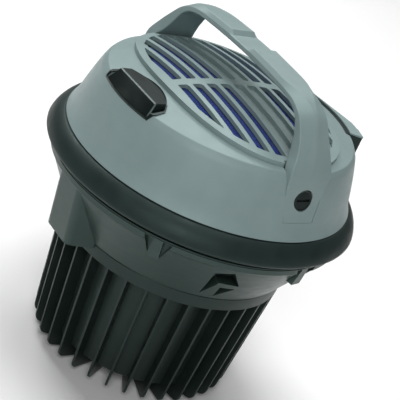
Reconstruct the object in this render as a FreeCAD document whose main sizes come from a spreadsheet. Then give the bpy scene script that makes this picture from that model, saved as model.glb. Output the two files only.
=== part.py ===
import FreeCAD, Part
import math
import os
import Sketcher
from types import SimpleNamespace

# Lift-out motor head of a tub-type power filter, in millimetres, +Z up.
# The origin is under the middle of the finned basket, on the surface that it stands on.
# +X runs along the carry handle, -Y is the push-button side, +Y is the cord inlet side.

SHEET_CELLS = {
    # dome and roof
    "rim_height": 243.0, "rim_radius": 151.5, "wall": 3.0, "skirt_radius": 144.6, "skirt_height": 262.0,
    "skirt_arc": 70.0, "shoulder_radius": 135.0, "shoulder_height": 295.5, "crease_radius": 130.0,
    "crease_height": 304.3, "crease_arc": 16.0, "roof_arc": 527.0, "roof_apex": 320.8,
    "bay_length": 232.0, "bay_width": 164.0,
    # grille panel and foam
    "panel_length": 249.0, "panel_width": 182.0, "panel_step": 4.8, "panel_thick": 4.2, "panel_rim": 4.5,
    "slot_pitch": 16.4, "slot_width": 11.2, "slot_columns": 10, "bar_half": 5.0, "slot_span_x": 112.0,
    "slot_span_y": 86.0, "foam_length": 228.0, "foam_width": 160.0, "foam_bottom": 296.0, "foam_gap": 0.6,
    "tray_height": 292.5, "tray_thick": 3.0,
    # handle
    "grip_top": 369.0, "grip_under": 358.5, "grip_half": 17.5, "leg_half": 25.0, "foot_half": 18.6,
    "foot_height": 260.0, "saddle_depth": 4.0, "saddle_half": 17.0, "coin_radius": 10.6, "coin_height": 281.4,
    "coin_reach": 138.6, "coin_thick": 3.0, "coin_tilt": 14.0, "coin_slot": 2.6, "recess_gap": 0.5,
    # push button
    "button_top": 313.0, "button_front": 133.0, "button_back": 95.5, "button_half": 37.5, "button_end": 111.0,
    "ridge_front": 121.5, "ridge_back": 96.8, "ridge_half": 33.0, "ridge_end": 108.0, "button_gap": 0.8,
    "bezel_band": 1.6, "bezel_thick": 1.4, "stem_radius": 5.0,
    # cord inlet
    "visor_radius": 143.5, "visor_half": 60.6, "visor_inner": 130.2, "visor_top": 308.0, "visor_thick": 1.8,
    "inlet_bore": 4.5, "gland_radius": 7.8,
    # seal and collar
    "seal_radius": 165.2, "flange_radius": 156.0, "flange_top": 219.0, "flange_bottom": 206.0,
    "cone_foot_radius": 121.0, "cone_foot_height": 151.5, "deck_height": 158.0, "inlet_radius": 32.0,
    "boss_reach": 146.5, "boss_lean": 7.9, "boss_half": 20.0, "boss_foot_half": 26.0, "boss_bottom": 146.0,
    "tab_bottom": 191.0, "tab_reach": 151.5, "tab_width": 19.0, "screw_radius": 2.0,
    # basket
    "band_radius": 120.4, "band_bottom": 137.5, "core_radius": 106.0, "core_foot_radius": 96.0,
    "core_foot": 20.0, "rib_top_radius": 120.3, "rib_foot_radius": 109.6, "rib_tip_radius": 101.5,
    "rib_tip": 7.8, "rib_inner": 61.0, "rib_count": 34, "rib_thick": 2.4, "rib_azimuth": -45.0,
    "hub_radius": 44.0, "twist_play": 0.5,
    # motor
    "can_radius": 69.0, "can_bottom": 165.0, "can_top": 198.0, "fan_radius": 60.0, "fan_bottom": 170.0,
    "fan_top": 182.4, "fan_skin": 1.4, "diffuser_bottom": 185.0, "shaft_radius": 4.0,
    "shaft_bottom": 168.0, "shaft_top": 289.5, "core_stack": 215.0, "stack_height": 36.0, "stator_radius": 43.0,
    "armature_radius": 24.0, "air_gap": 0.7, "bearing_radius": 11.0, "bearing_width": 7.0, "running": 0.05,
    "coil_rise": 5.0, "cooler_radius": 34.0, "cooler_bottom": 283.4, "cap_radius": 49.4, "cap_bottom": 262.0,
    "cap_top": 291.8, "cap_wall": 2.2, "sleeve_inner": 73.0, "sleeve_outer": 83.0,
}


class Size:
    """A length that keeps the sheet formula that gives it."""

    def __init__(self, value, formula):
        self.value = float(value)
        self.formula = formula

    def join(self, other, sign, value):
        return Size(value, "(" + self.formula + " " + sign + " " + formula_of(other) + ")")

    def __add__(self, other):
        return self.join(other, "+", self.value + number_of(other))

    def __sub__(self, other):
        return self.join(other, "-", self.value - number_of(other))

    def __mul__(self, other):
        return self.join(other, "*", self.value * number_of(other))

    def __truediv__(self, other):
        return self.join(other, "/", self.value / number_of(other))

    def __neg__(self):
        return Size(-self.value, "(-1 * " + self.formula + ")")


def size(amount):
    """A plain number as a size."""
    return amount if isinstance(amount, Size) else Size(amount, str(amount))


def number_of(amount):
    return amount.value if isinstance(amount, Size) else float(amount)


def formula_of(amount):
    return amount.formula if isinstance(amount, Size) else str(amount)


def root(amount):
    return Size(math.sqrt(amount.value), "sqrt(" + amount.formula + ")")


doc = FreeCAD.newDocument("motor_head")
sheet = doc.addObject("Spreadsheet::Sheet", "Sizes")
for row, (alias, amount) in enumerate(SHEET_CELLS.items(), start=1):
    sheet.set("A%d" % row, alias)
    sheet.set("B%d" % row, str(amount))
    sheet.setAlias("B%d" % row, alias)
doc.recompute()
D = SimpleNamespace(**{alias: Size(amount, "Sizes." + alias) for alias, amount in SHEET_CELLS.items()})

nodes = []


# ---------------------------------------------------------------- helpers

def keep(item, label):
    """Names an object as a sub-part of the model."""
    item.Label = label
    nodes.append(item)
    return item


def bind(item, **amounts):
    """Sets properties from sizes, through the sheet."""
    for prop, amount in amounts.items():
        if isinstance(amount, Size):
            item.setExpression(prop, amount.formula)
        else:
            setattr(item, prop, amount)
    return item


def place(item, x=0, y=0, z=0, turn=0, axis=(0, 0, 1)):
    """Moves an object to a point and turns it about an axis through that point."""
    spot = FreeCAD.Vector(number_of(x), number_of(y), number_of(z))
    item.Placement = FreeCAD.Placement(spot, FreeCAD.Rotation(FreeCAD.Vector(*axis), number_of(turn)))
    for name, amount in (("x", x), ("y", y), ("z", z)):
        if isinstance(amount, Size):
            item.setExpression("Placement.Base." + name, amount.formula)
    return item


def arc_middle(start, end, radius):
    """The middle of an arc; a positive radius keeps its centre left of the way from start to end."""
    chord = end - start
    half = chord.Length / 2
    rise = abs(radius) - math.sqrt(radius * radius - half * half)
    side = FreeCAD.Vector(chord.y, -chord.x, 0).normalize()
    return (start + end) * 0.5 + side * math.copysign(rise, radius)


def draw(sketch, corners):
    """A closed outline; a corner (x, y, radius) is reached by an arc, and (x, y) by a line."""
    points = [FreeCAD.Vector(number_of(c[0]), number_of(c[1]), 0) for c in corners]
    first = sketch.GeometryCount
    ends = []
    for index, corner in enumerate(corners):
        start = points[index - 1]
        end = points[index]
        if len(corner) == 3:
            middle = arc_middle(start, end, number_of(corner[2]))
            edge = sketch.addGeometry(Part.Arc(start, middle, end), False)
        else:
            edge = sketch.addGeometry(Part.LineSegment(start, end), False)
        flipped = (sketch.getPoint(edge, 1) - end).Length < (sketch.getPoint(edge, 1) - start).Length
        ends.append((2, 1) if flipped else (1, 2))
    for index, corner in enumerate(corners):
        edge = first + index
        following = (index + 1) % len(corners)
        sketch.addConstraint(
            Sketcher.Constraint("Coincident", edge, ends[index][1], first + following, ends[following][0]))
        for kind, amount in (("DistanceX", corner[0]), ("DistanceY", corner[1])):
            place_point(sketch, kind, edge, ends[index][1], amount)
        if len(corner) == 3:
            rule = sketch.addConstraint(Sketcher.Constraint("Radius", edge, abs(number_of(corner[2]))))
            if isinstance(corner[2], Size):
                sketch.setExpression("Constraints[%d]" % rule, "abs(" + corner[2].formula + ")")


def place_point(sketch, kind, edge, end, amount):
    rule = sketch.addConstraint(Sketcher.Constraint(kind, edge, end, number_of(amount)))
    if isinstance(amount, Size):
        sketch.setExpression("Constraints[%d]" % rule, amount.formula)


def new_body(name):
    return doc.addObject("PartDesign::Body", name)


def new_sketch(body, name, role, outlines, height=None):
    """A sketch on one of the body's origin planes."""
    sketch = body.newObject("Sketcher::SketchObject", name)
    base_plane = [f for f in body.Origin.OriginFeatures if f.Role == role][0]
    sketch.AttachmentSupport = [(base_plane, "")]
    sketch.MapMode = "FlatFace"
    if height is not None:
        sketch.setExpression("AttachmentOffset.Base.z", formula_of(height))
    for outline in outlines:
        draw(sketch, outline)
    return sketch


def turned(name, outline):
    """A body turned about Z from an outline of (radius, height) corners."""
    body = new_body(name)
    sketch = new_sketch(body, name + "_outline", "XZ_Plane", [outline])
    spin = body.newObject("PartDesign::Revolution", name + "_spin")
    spin.Profile = sketch
    spin.ReferenceAxis = (sketch, ["V_Axis"])
    spin.Angle = 360
    return body


def padded(name, outline, bottom, length, taper=None):
    """A body padded up from an (x, y) outline at a height."""
    body = new_body(name)
    sketch = new_sketch(body, name + "_outline", "XY_Plane", [outline], bottom)
    pad = body.newObject("PartDesign::Pad", name + "_pad")
    pad.Profile = sketch
    pad.setExpression("Length", formula_of(length))
    if taper is not None:
        pad.setExpression("TaperAngle", formula_of(taper))
    return body


def ring(name, inner, outer, bottom, top):
    """A plain ring between two radii and two heights."""
    return turned(name, [(inner, bottom), (outer, bottom), (outer, top), (inner, top)])


def box(name, length, width, height, x, y, z):
    """A box centred on x and y, standing on z."""
    item = bind(doc.addObject("Part::Box", name), Length=length, Width=width, Height=height)
    return place(item, size(x) - size(length) / 2, size(y) - size(width) / 2, z)


def cylinder(name, radius, height, x=0, y=0, z=0, turn=0, axis=(0, 0, 1)):
    item = bind(doc.addObject("Part::Cylinder", name), Radius=radius, Height=height)
    return place(item, x, y, z, turn, axis)


def oval(name, length, width, bottom, height):
    """An upright oval prism."""
    curve = bind(doc.addObject("Part::Ellipse", name + "_curve"), MajorRadius=length / 2, MinorRadius=width / 2)
    place(curve, 0, 0, bottom)
    prism = doc.addObject("Part::Extrusion", name)
    prism.Base = curve
    prism.DirMode = "Custom"
    prism.Dir = FreeCAD.Vector(0, 0, 1)
    prism.Solid = True
    return bind(prism, LengthFwd=height)


def ball_cap(name, radius, apex):
    """A sphere whose top is at the apex height."""
    return place(bind(doc.addObject("Part::Sphere", name), Radius=radius), 0, 0, apex - radius)


def common(name, base, tool):
    item = doc.addObject("Part::Common", name)
    item.Base = base
    item.Tool = tool
    return item


def cut(name, base, tool):
    item = doc.addObject("Part::Cut", name)
    item.Base = base
    item.Tool = tool
    return item


def fuse(name, base, tool):
    item = doc.addObject("Part::Fuse", name)
    item.Base = base
    item.Tool = tool
    item.Refine = True
    return item


def group(name, items):
    """Several objects as one compound."""
    item = doc.addObject("Part::Compound", name)
    item.Links = items
    return item


def around(count, maker, start=0.0):
    """What maker(index, angle in degrees) makes, evenly round Z."""
    total = int(number_of(count))
    return [maker(index, start + 360.0 * index / total) for index in range(total)]


def polar(radius, angle):
    """The x and y of a point at a radius and an angle in degrees."""
    spot = math.radians(angle)
    return radius * math.cos(spot), radius * math.sin(spot)


def roof_at(radius, drop=0.0):
    """The height of the domed roof at a radius, less a drop."""
    reach = D.roof_arc - drop
    return root(reach * reach - size(radius) * size(radius)) + D.roof_apex - D.roof_arc


# ---------------------------------------------------------------- dome, grille and foam

def dome_plug(name, grow):
    """The whole space under the dome's outer face, moved out by a small amount."""
    crease = D.crease_radius + grow
    return turned(name, [
        (0, D.rim_height - 10),
        (D.rim_radius + grow, D.rim_height - 10),
        (D.rim_radius + grow, D.rim_height),
        (D.skirt_radius + grow, D.skirt_height, -D.skirt_arc),
        (D.shoulder_radius + grow, D.shoulder_height),
        (crease, roof_at(D.crease_radius) + grow, D.crease_arc),
        (0, D.roof_apex + grow, D.roof_arc + grow)])


def dome_shell():
    inner_crease = D.crease_radius - D.wall
    return turned("dome_shell", [
        (D.rim_radius, D.rim_height),
        (D.skirt_radius, D.skirt_height, -D.skirt_arc),
        (D.shoulder_radius, D.shoulder_height),
        (D.crease_radius, roof_at(D.crease_radius), D.crease_arc),
        (ROOF_INNER, roof_at(ROOF_INNER), D.roof_arc),
        (ROOF_INNER, roof_at(ROOF_INNER, D.wall)),
        (inner_crease, roof_at(inner_crease, D.wall), -(D.roof_arc - D.wall)),
        (D.shoulder_radius - D.wall, D.shoulder_height - 1),
        (D.skirt_radius - D.wall, D.skirt_height),
        (D.rim_radius - D.wall, D.rim_height)])


def leg_window(name, side, start):
    """The opening in the dome that a foot of the handle fills, cut along X from a distance outwards."""
    foot = D.foot_half + D.recess_gap
    leg = D.leg_half + D.recess_gap
    outline = [
        (-foot, D.foot_height - D.recess_gap), (foot, D.foot_height - D.recess_gap),
        (leg, D.crease_height), (leg, D.crease_height + WINDOW_RISE), (-leg, D.crease_height + WINDOW_RISE),
        (-leg, D.crease_height)]
    body = new_body(name)
    sketch = new_sketch(body, name + "_outline", "YZ_Plane", [outline], size(side * start))
    pad = body.newObject("PartDesign::Pad", name + "_pad")
    pad.Profile = sketch
    pad.Reversed = side < 0
    pad.setExpression("Length", THROUGH.formula)
    return body


def button_outline(grow, front, half, back, end):
    """A D seen from above, moved out by a small amount, its bowed front face towards -Y."""
    wide = half + grow
    bow = front + grow
    rise = end - back
    curve = (half * half + rise * rise) / (rise * 2) + grow
    corner = root(curve * curve - wide * wide) - curve + grow - back
    return [
        (-wide, -root(bow * bow - wide * wide)), (wide, -root(bow * bow - wide * wide), bow),
        (wide, corner), (-wide, corner, curve)]


def button_hole(name, grow, bottom, length):
    outline = button_outline(grow, D.button_front, D.button_half, D.button_back, D.button_end)
    return padded(name, outline, bottom, length)


def screw_post(index, angle):
    """A bored post inside the dome, with a web that joins it to the wall."""
    x, y = polar(POST_CIRCLE, angle)
    post = cylinder("post_%d" % index, D.screw_radius + 2.5, POST_HEIGHT, x, y, D.rim_height + 0.4)
    web = bind(doc.addObject("Part::Box", "post_web_%d" % index),
               Length=D.skirt_radius - POST_CIRCLE - 1, Width=size(2.4), Height=size(POST_HEIGHT))
    place(web, x, y, D.rim_height + 0.4, angle)
    hole = cylinder("post_hole_%d" % index, D.screw_radius + 0.1, POST_HEIGHT - 4, x, y, D.rim_height)
    return cut("post_bored_%d" % index, fuse("post_webbed_%d" % index, post, web), hole)


def make_top_cover():
    openings = [
        oval("foam_bay", D.bay_length, D.bay_width, D.crease_height - 20, THROUGH),
        leg_window("right_window", 1, WINDOW_START),
        leg_window("left_window", -1, WINDOW_START),
        button_hole("button_opening", D.button_gap, D.shoulder_height - 12, THROUGH),
        cylinder("cord_way", D.gland_radius + 0.6, THROUGH, 0, D.visor_radius, GLAND_HEIGHT, 90, (1, 0, 0))]
    shell = cut("dome_opened", dome_shell(), group("dome_openings", openings))
    posts = around(SCREW_COUNT, screw_post, SCREW_START)
    cover = doc.addObject("Part::MultiFuse", "top_cover_whole")
    cover.Shapes = [shell] + posts
    keep(cover, "top_cover")


def slot_tools(columns):
    """Boxes along X through the grille, both sides of its cross bar, for the listed columns."""
    tools = []
    for column in columns:
        across = D.slot_pitch * (column - (SLOT_COLUMNS - 1) / 2)
        share = size(1) - (across / D.slot_span_y) * (across / D.slot_span_y)
        reach = D.slot_span_x * root(share) - D.bar_half
        for side in (-1, 1):
            middle = (D.bar_half + reach / 2) * side
            name = "slot_%d_%s" % (column, "right" if side > 0 else "left")
            tools.append(box(name, reach, D.slot_width, THROUGH, middle, across, D.crease_height - 10))
    return tools


def make_grille_panel():
    top_apex = D.roof_apex + D.panel_step
    outer = oval("panel_oval", D.panel_length, D.panel_width, D.crease_height - 5, THROUGH)
    domed = common("panel_domed", outer, ball_cap("panel_top", D.roof_arc, top_apex))
    inner_oval = oval("panel_inner_oval", D.panel_length - D.panel_rim * 2, D.panel_width - D.panel_rim * 2,
                      D.crease_height - 6, THROUGH)
    hollow = common("panel_hollow", inner_oval,
                    ball_cap("panel_underside", D.roof_arc - D.panel_thick, top_apex - D.panel_thick))
    roof = ball_cap("panel_seat", D.roof_arc, D.roof_apex + SEAT_GAP)
    blind = cut("blind_grooves", group("blind_slots", slot_tools(BLIND_COLUMNS)),
                ball_cap("groove_floor", D.roof_arc - GROOVE_DEPTH, top_apex - GROOVE_DEPTH))
    feet = [leg_window("panel_right_notch", 1, WINDOW_START + 1.5),
            leg_window("panel_left_notch", -1, WINDOW_START + 1.5)]
    open_columns = [column for column in range(SLOT_COLUMNS) if column not in BLIND_COLUMNS]
    tools = group("panel_tools", [hollow, roof, blind] + feet + slot_tools(open_columns))
    keep(cut("grille_panel_cut", domed, tools), "grille_panel")


def make_exhaust_foam():
    pad = oval("foam_oval", D.foam_length, D.foam_width, D.foam_bottom, THROUGH)
    apex = D.roof_apex + D.panel_step - D.panel_thick - D.foam_gap
    keep(common("exhaust_foam_pad", pad, ball_cap("foam_top", D.roof_arc, apex)), "exhaust_foam")


def make_foam_tray():
    plate = oval("tray_oval", D.bay_length + 8, D.bay_width + 8, D.tray_height, size(11))
    basin = oval("tray_basin", D.bay_length + 3, D.bay_width + 3, D.tray_height + D.tray_thick, THROUGH)
    vents = []
    for index in range(VENT_COUNT):
        across = VENT_PITCH * (index - VENT_COUNT // 2)
        vents.append(box("tray_vent_%d" % index, 150, 10, 20, 0, across, D.tray_height - 5))
    keep(cut("foam_tray_cut", plate, group("tray_tools", [basin] + vents)), "foam_tray")


# ---------------------------------------------------------------- handle and its coin screws

def mirrored(corners):
    """The same corners on the other side of Z, in the opposite order."""
    return [(-corner[0],) + tuple(corner[1:]) for corner in reversed(corners)]


def handle_outline():
    """The handle seen from -Y: feet in the dome, leaning legs and a slightly arched grip."""
    outer = [
        (size(144.3), D.foot_height), (D.coin_reach + 0.7, D.coin_height), (size(135.3), D.crease_height + 3.7),
        (size(129.5), D.crease_height + 19), (size(112), D.grip_top - 20)]
    shoulder = (size(73), D.grip_top - 3.2)
    armpit = (size(76), D.grip_under - 2)
    inner = [
        (size(106.5), D.grip_under - 20.5), (size(115), D.crease_height + 15.2),
        (size(123.5), D.crease_height - 0.3), (D.coin_reach - 8.6, D.coin_height), (size(134.5), D.foot_height)]
    left_outer = mirrored(outer)
    left_inner = mirrored(inner)
    return (
        outer + [shoulder + (GRIP_BEND,), (-shoulder[0], shoulder[1], GRIP_ARCH)]
        + [left_outer[0] + (GRIP_BEND,)] + left_outer[1:]
        + left_inner + [(-armpit[0], armpit[1], -ARMPIT_BEND), armpit + (-GRIP_ARCH,)]
        + [inner[0] + (-ARMPIT_BEND,)] + inner[1:])


def make_carry_handle():
    body = new_body("handle_side")
    sketch = new_sketch(body, "handle_side_outline", "XZ_Plane", [handle_outline()])
    pad = body.newObject("PartDesign::Pad", "handle_side_pad")
    pad.Profile = sketch
    pad.Midplane = True
    pad.Length = 60
    right = [
        (D.foot_half, D.foot_height - 1), (D.leg_half, D.crease_height), (D.leg_half - 3, D.crease_height + 14),
        (D.grip_half, D.crease_height + 34), (D.grip_half, D.grip_top + 3)]
    front = new_body("handle_front")
    front_sketch = new_sketch(front, "handle_front_outline", "YZ_Plane", [right + mirrored(right)])
    front_pad = front.newObject("PartDesign::Pad", "handle_front_pad")
    front_pad.Profile = front_sketch
    front_pad.Midplane = True
    front_pad.Length = 320
    bow = common("handle_bow", body, front)
    saddle = box("saddle", D.saddle_half * 2, 60, 20, 0, 0, D.grip_top - D.saddle_depth)
    tools = [saddle]
    for side in (-1, 1):
        seat = -D.coin_thick - 0.3
        tools += [coin_cylinder("counterbore_%d" % side, side, D.coin_radius + 0.3, size(8), seat),
                  coin_cylinder("coin_hole_%d" % side, side, size(4.3), size(30), size(-20))]
    keep(cut("carry_handle_cut", bow, group("handle_tools", tools)), "carry_handle")


def tilted(item, side, local):
    """Puts an object on a coin screw's axis, at a distance out from the handle's face."""
    tilt = math.radians(number_of(D.coin_tilt))
    out = FreeCAD.Vector(side * math.cos(tilt), 0, math.sin(tilt))
    foot = FreeCAD.Vector(side * D.coin_reach.value, 0, D.coin_height.value)
    turn = FreeCAD.Rotation(FreeCAD.Vector(0, 0, 1), out)
    item.Placement = FreeCAD.Placement(foot + out * number_of(local), turn)
    return item


def coin_cylinder(name, side, radius, height, local):
    item = bind(doc.addObject("Part::Cylinder", name), Radius=radius, Height=height)
    return tilted(item, side, local)


def make_coin_screws():
    for side, label in ((1, "coin_screw_right"), (-1, "coin_screw_left")):
        head = coin_cylinder(label + "_head", side, D.coin_radius, D.coin_thick, -D.coin_thick)
        shank = coin_cylinder(label + "_shank", side, size(4), size(17), size(-19.5))
        blank = fuse(label + "_blank", head, shank)
        slot = bind(doc.addObject("Part::Box", label + "_slot"),
                    Length=D.coin_slot, Width=size(30), Height=size(4))
        tilted(slot, side, -1.6)
        shift = FreeCAD.Placement(FreeCAD.Vector(-D.coin_slot.value / 2, -15, 0), FreeCAD.Rotation())
        slot.Placement = slot.Placement.multiply(shift)
        keep(cut(label + "_cut", blank, slot), label)


def make_handle_anchors():
    blocks = []
    for side in (-1, 1):
        block = bind(doc.addObject("Part::Box", "anchor_%d" % side),
                     Length=size(22), Width=size(30), Height=size(11))
        tilted(block, side, -20.5)
        shift = FreeCAD.Placement(FreeCAD.Vector(-11, -15, 0), FreeCAD.Rotation())
        block.Placement = block.Placement.multiply(shift)
        bore = coin_cylinder("anchor_bore_%d" % side, side, size(4.3), size(30), size(-25))
        blocks.append(cut("anchor_bored_%d" % side, block, bore))
    keep(group("handle_anchor_pair", blocks), "handle_anchors")


# ---------------------------------------------------------------- push button, switch and cord inlet

def make_push_button():
    body = new_body("button_cap")
    base = button_outline(size(0), D.button_front, D.button_half, D.button_back, D.button_end)
    top = button_outline(size(0), D.ridge_front, D.ridge_half, D.ridge_back, D.ridge_end)
    lower = new_sketch(body, "button_base_outline", "XY_Plane", [base], D.shoulder_height + 1.5)
    upper = new_sketch(body, "button_top_outline", "XY_Plane", [top], D.button_top)
    loft = body.newObject("PartDesign::AdditiveLoft", "button_loft")
    loft.Profile = lower
    loft.Sections = [upper]
    loft.Ruled = True
    stem = cylinder("button_stem", D.stem_radius, 14, 0, -SWITCH_Y, D.shoulder_height - 11.5)
    keep(fuse("push_button_whole", body, stem), "push_button")


def make_button_bezel():
    outer = button_hole("bezel_outer", D.button_gap + D.bezel_band, D.shoulder_height - 12, size(40))
    inner = button_hole("bezel_inner", D.button_gap, D.shoulder_height - 14, THROUGH)
    band = cut("bezel_ring", outer, inner)
    skin = common("bezel_skin", band, dome_plug("bezel_envelope", D.bezel_thick))
    keep(cut("button_bezel_cut", skin, dome_plug("bezel_seat", size(0.1))), "button_bezel")


def make_switch():
    switch_top = D.shoulder_height - 16
    keep(box("switch_case", 24, 15, 19, 0, -SWITCH_Y, switch_top - 19), "switch_body")
    spring = ring("spring_coil", D.stem_radius + 1.2, D.stem_radius + 2.6,
                  switch_top + 0.3, D.shoulder_height + 1.2)
    spring.Placement = FreeCAD.Placement(FreeCAD.Vector(0, -SWITCH_Y, 0), FreeCAD.Rotation())
    keep(spring, "button_spring")


def visor_outline(inset):
    """A slice of the ring round the dome: bowed outer edge, ends that point at the axis, straight back."""
    reach = D.visor_radius - inset
    half = D.visor_half - inset
    side = root(reach * reach - half * half)
    share = D.visor_inner / D.visor_radius
    return [(-half * share, side * share), (half * share, side * share), (half, side), (-half, side, reach)]


def make_cord_inlet():
    visor_foot = D.visor_top - D.visor_thick
    plate = padded("visor_slice", visor_outline(size(0)), visor_foot, D.visor_thick)
    inside = cylinder("visor_back", D.visor_inner, THROUGH, 0, 0, visor_foot - 10)
    keep(cut("visor_plate", plate, inside), "inlet_visor")
    block_foot = D.shoulder_height - 11
    block = padded("inlet_prism", visor_outline(size(0.8)), block_foot, visor_foot - 0.1 - block_foot)
    bore = cylinder("gland_seat", D.gland_radius + 0.2, THROUGH, 0, D.visor_radius, GLAND_HEIGHT, 90, (1, 0, 0))
    solid = cut("inlet_shaped", block, group("inlet_tools", [dome_plug("inlet_seat", size(0.1)), bore]))
    keep(solid, "cord_inlet")
    sleeve = cylinder("gland_sleeve", D.gland_radius, GLAND_LENGTH, 0, D.visor_radius, GLAND_HEIGHT,
                      90, (1, 0, 0))
    opening = cylinder("gland_bore", D.inlet_bore, 60, 0, D.visor_radius + 20, GLAND_HEIGHT, 90, (1, 0, 0))
    keep(cut("cord_gland_cut", sleeve, opening), "cord_gland")


# ---------------------------------------------------------------- seal, collar and basket

def make_rim_seal():
    bottom = D.flange_top + 0.4
    top = D.rim_height - 0.4
    keep(turned("seal_ring", [
        (D.rim_radius - 1.3, bottom), (D.seal_radius - 4.2, bottom), (D.seal_radius, bottom + 4.2, 4.5),
        (D.rim_radius + 1, top, 27), (D.rim_radius - 1.3, top)]), "rim_seal")


def collar_shell():
    spigot = D.band_radius - D.wall - D.twist_play
    neck = D.rim_radius - 1.7
    foot = D.cone_foot_height
    return turned("collar_shell", [
        (spigot - D.wall, foot - 10), (spigot, foot - 10), (spigot, foot), (D.cone_foot_radius, foot),
        (D.flange_radius - 2, D.flange_bottom), (D.flange_radius, D.flange_bottom + 1.6),
        (D.flange_radius, D.flange_top), (neck, D.flange_top), (neck, D.rim_height - 0.4),
        (neck - D.wall, D.rim_height - 0.4), (neck - D.wall, D.flange_bottom - 6.5),
        (D.cone_foot_radius + 2.3, D.deck_height + D.wall), (D.inlet_radius, D.deck_height + D.wall),
        (D.inlet_radius, D.deck_height), (spigot - D.wall, D.deck_height)])


def lock_tab(index, angle):
    """A wedge below the flange that the tub's catch grips."""
    body = new_body("lock_tab_%d" % index)
    sketch = new_sketch(body, "lock_tab_outline_%d" % index, "XZ_Plane", [[
        (D.tab_reach - 9.5, D.tab_bottom - 1.5), (D.tab_reach, D.tab_bottom),
        (D.flange_radius - 0.4, D.flange_bottom), (D.flange_radius - 0.4, D.flange_top - 0.4),
        (D.flange_radius - 8, D.flange_top - 0.4)]])
    pad = body.newObject("PartDesign::Pad", "lock_tab_pad_%d" % index)
    pad.Profile = sketch
    pad.Midplane = True
    pad.setExpression("Length", D.tab_width.formula)
    return place(body, turn=angle)


def boss_outline(reach):
    back = -D.cone_foot_radius + 3
    return [(-D.boss_foot_half, back), (-D.boss_half, -reach), (D.boss_half, -reach), (D.boss_foot_half, back)]


def collar_boss():
    """The box that stands out of the cone on the push-button side, its front leaning out to the flange."""
    prism = new_body("boss_prism")
    foot = new_sketch(prism, "boss_foot_outline", "XY_Plane", [boss_outline(D.boss_reach)], D.boss_bottom)
    top = new_sketch(prism, "boss_top_outline", "XY_Plane", [boss_outline(D.boss_reach + D.boss_lean)],
                     D.flange_bottom + 3)
    loft = prism.newObject("PartDesign::AdditiveLoft", "boss_loft")
    loft.Profile = foot
    loft.Sections = [top]
    loft.Ruled = True
    inner = turned("boss_clearance", [
        (0, D.boss_bottom - 2), (D.cone_foot_radius + 0.2, D.boss_bottom - 2),
        (D.cone_foot_radius + 0.2, D.cone_foot_height + 1.5), (D.flange_radius - 3.6, D.flange_bottom),
        (D.flange_radius - 3.6, D.flange_top), (0, D.flange_top)])
    return cut("boss_box", prism, inner)


def screw_lug(index, angle):
    x, y = polar(POST_CIRCLE + 2, angle)
    lug = cylinder("lug_%d" % index, 11, 6, x, y, D.rim_height - 6.4)
    bore_x, bore_y = polar(POST_CIRCLE, angle)
    hole = cylinder("lug_hole_%d" % index, D.screw_radius + 0.3, 20, bore_x, bore_y, D.rim_height - 12)
    return cut("lug_bored_%d" % index, lug, hole)


def bayonet_window(index, angle):
    """The slot in the spigot that a bayonet pin of the basket turns in."""
    x, y = polar(D.band_radius.value - 5, angle + TWIST / 2)
    slot = doc.addObject("Part::Box", "bayonet_window_%d" % index)
    bind(slot, Length=size(14), Width=size(38), Height=size(6.5))
    turn = FreeCAD.Rotation(FreeCAD.Vector(0, 0, 1), angle + TWIST / 2)
    slot.Placement = FreeCAD.Placement(FreeCAD.Vector(x, y, D.cone_foot_height.value - 9.5), turn)
    shift = FreeCAD.Placement(FreeCAD.Vector(-7, -19, 0), FreeCAD.Rotation())
    slot.Placement = slot.Placement.multiply(shift)
    return slot


def make_collar():
    parts = [collar_shell(), collar_boss()]
    parts += [lock_tab(index, angle) for index, angle in enumerate(TAB_ANGLES)]
    parts += around(SCREW_COUNT, screw_lug, SCREW_START)
    solid = doc.addObject("Part::MultiFuse", "collar_joined")
    solid.Shapes = parts
    windows = group("bayonet_windows", around(3, bayonet_window, BAYONET_START))
    keep(cut("base_collar_cut", solid, windows), "base_collar")


def make_cover_screws():
    screws = []
    places = around(SCREW_COUNT, lambda _, angle: polar(POST_CIRCLE, angle), SCREW_START)
    for index, (x, y) in enumerate(places):
        shank = cylinder("cover_screw_shank_%d" % index, D.screw_radius, POST_HEIGHT, x, y, D.rim_height - 6.6)
        head = cylinder("cover_screw_head_%d" % index, D.screw_radius * 2, 3, x, y, D.rim_height - 9.6)
        screws.append(fuse("cover_screw_%d" % index, shank, head))
    keep(group("cover_screw_set", screws), "cover_screws")


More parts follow.
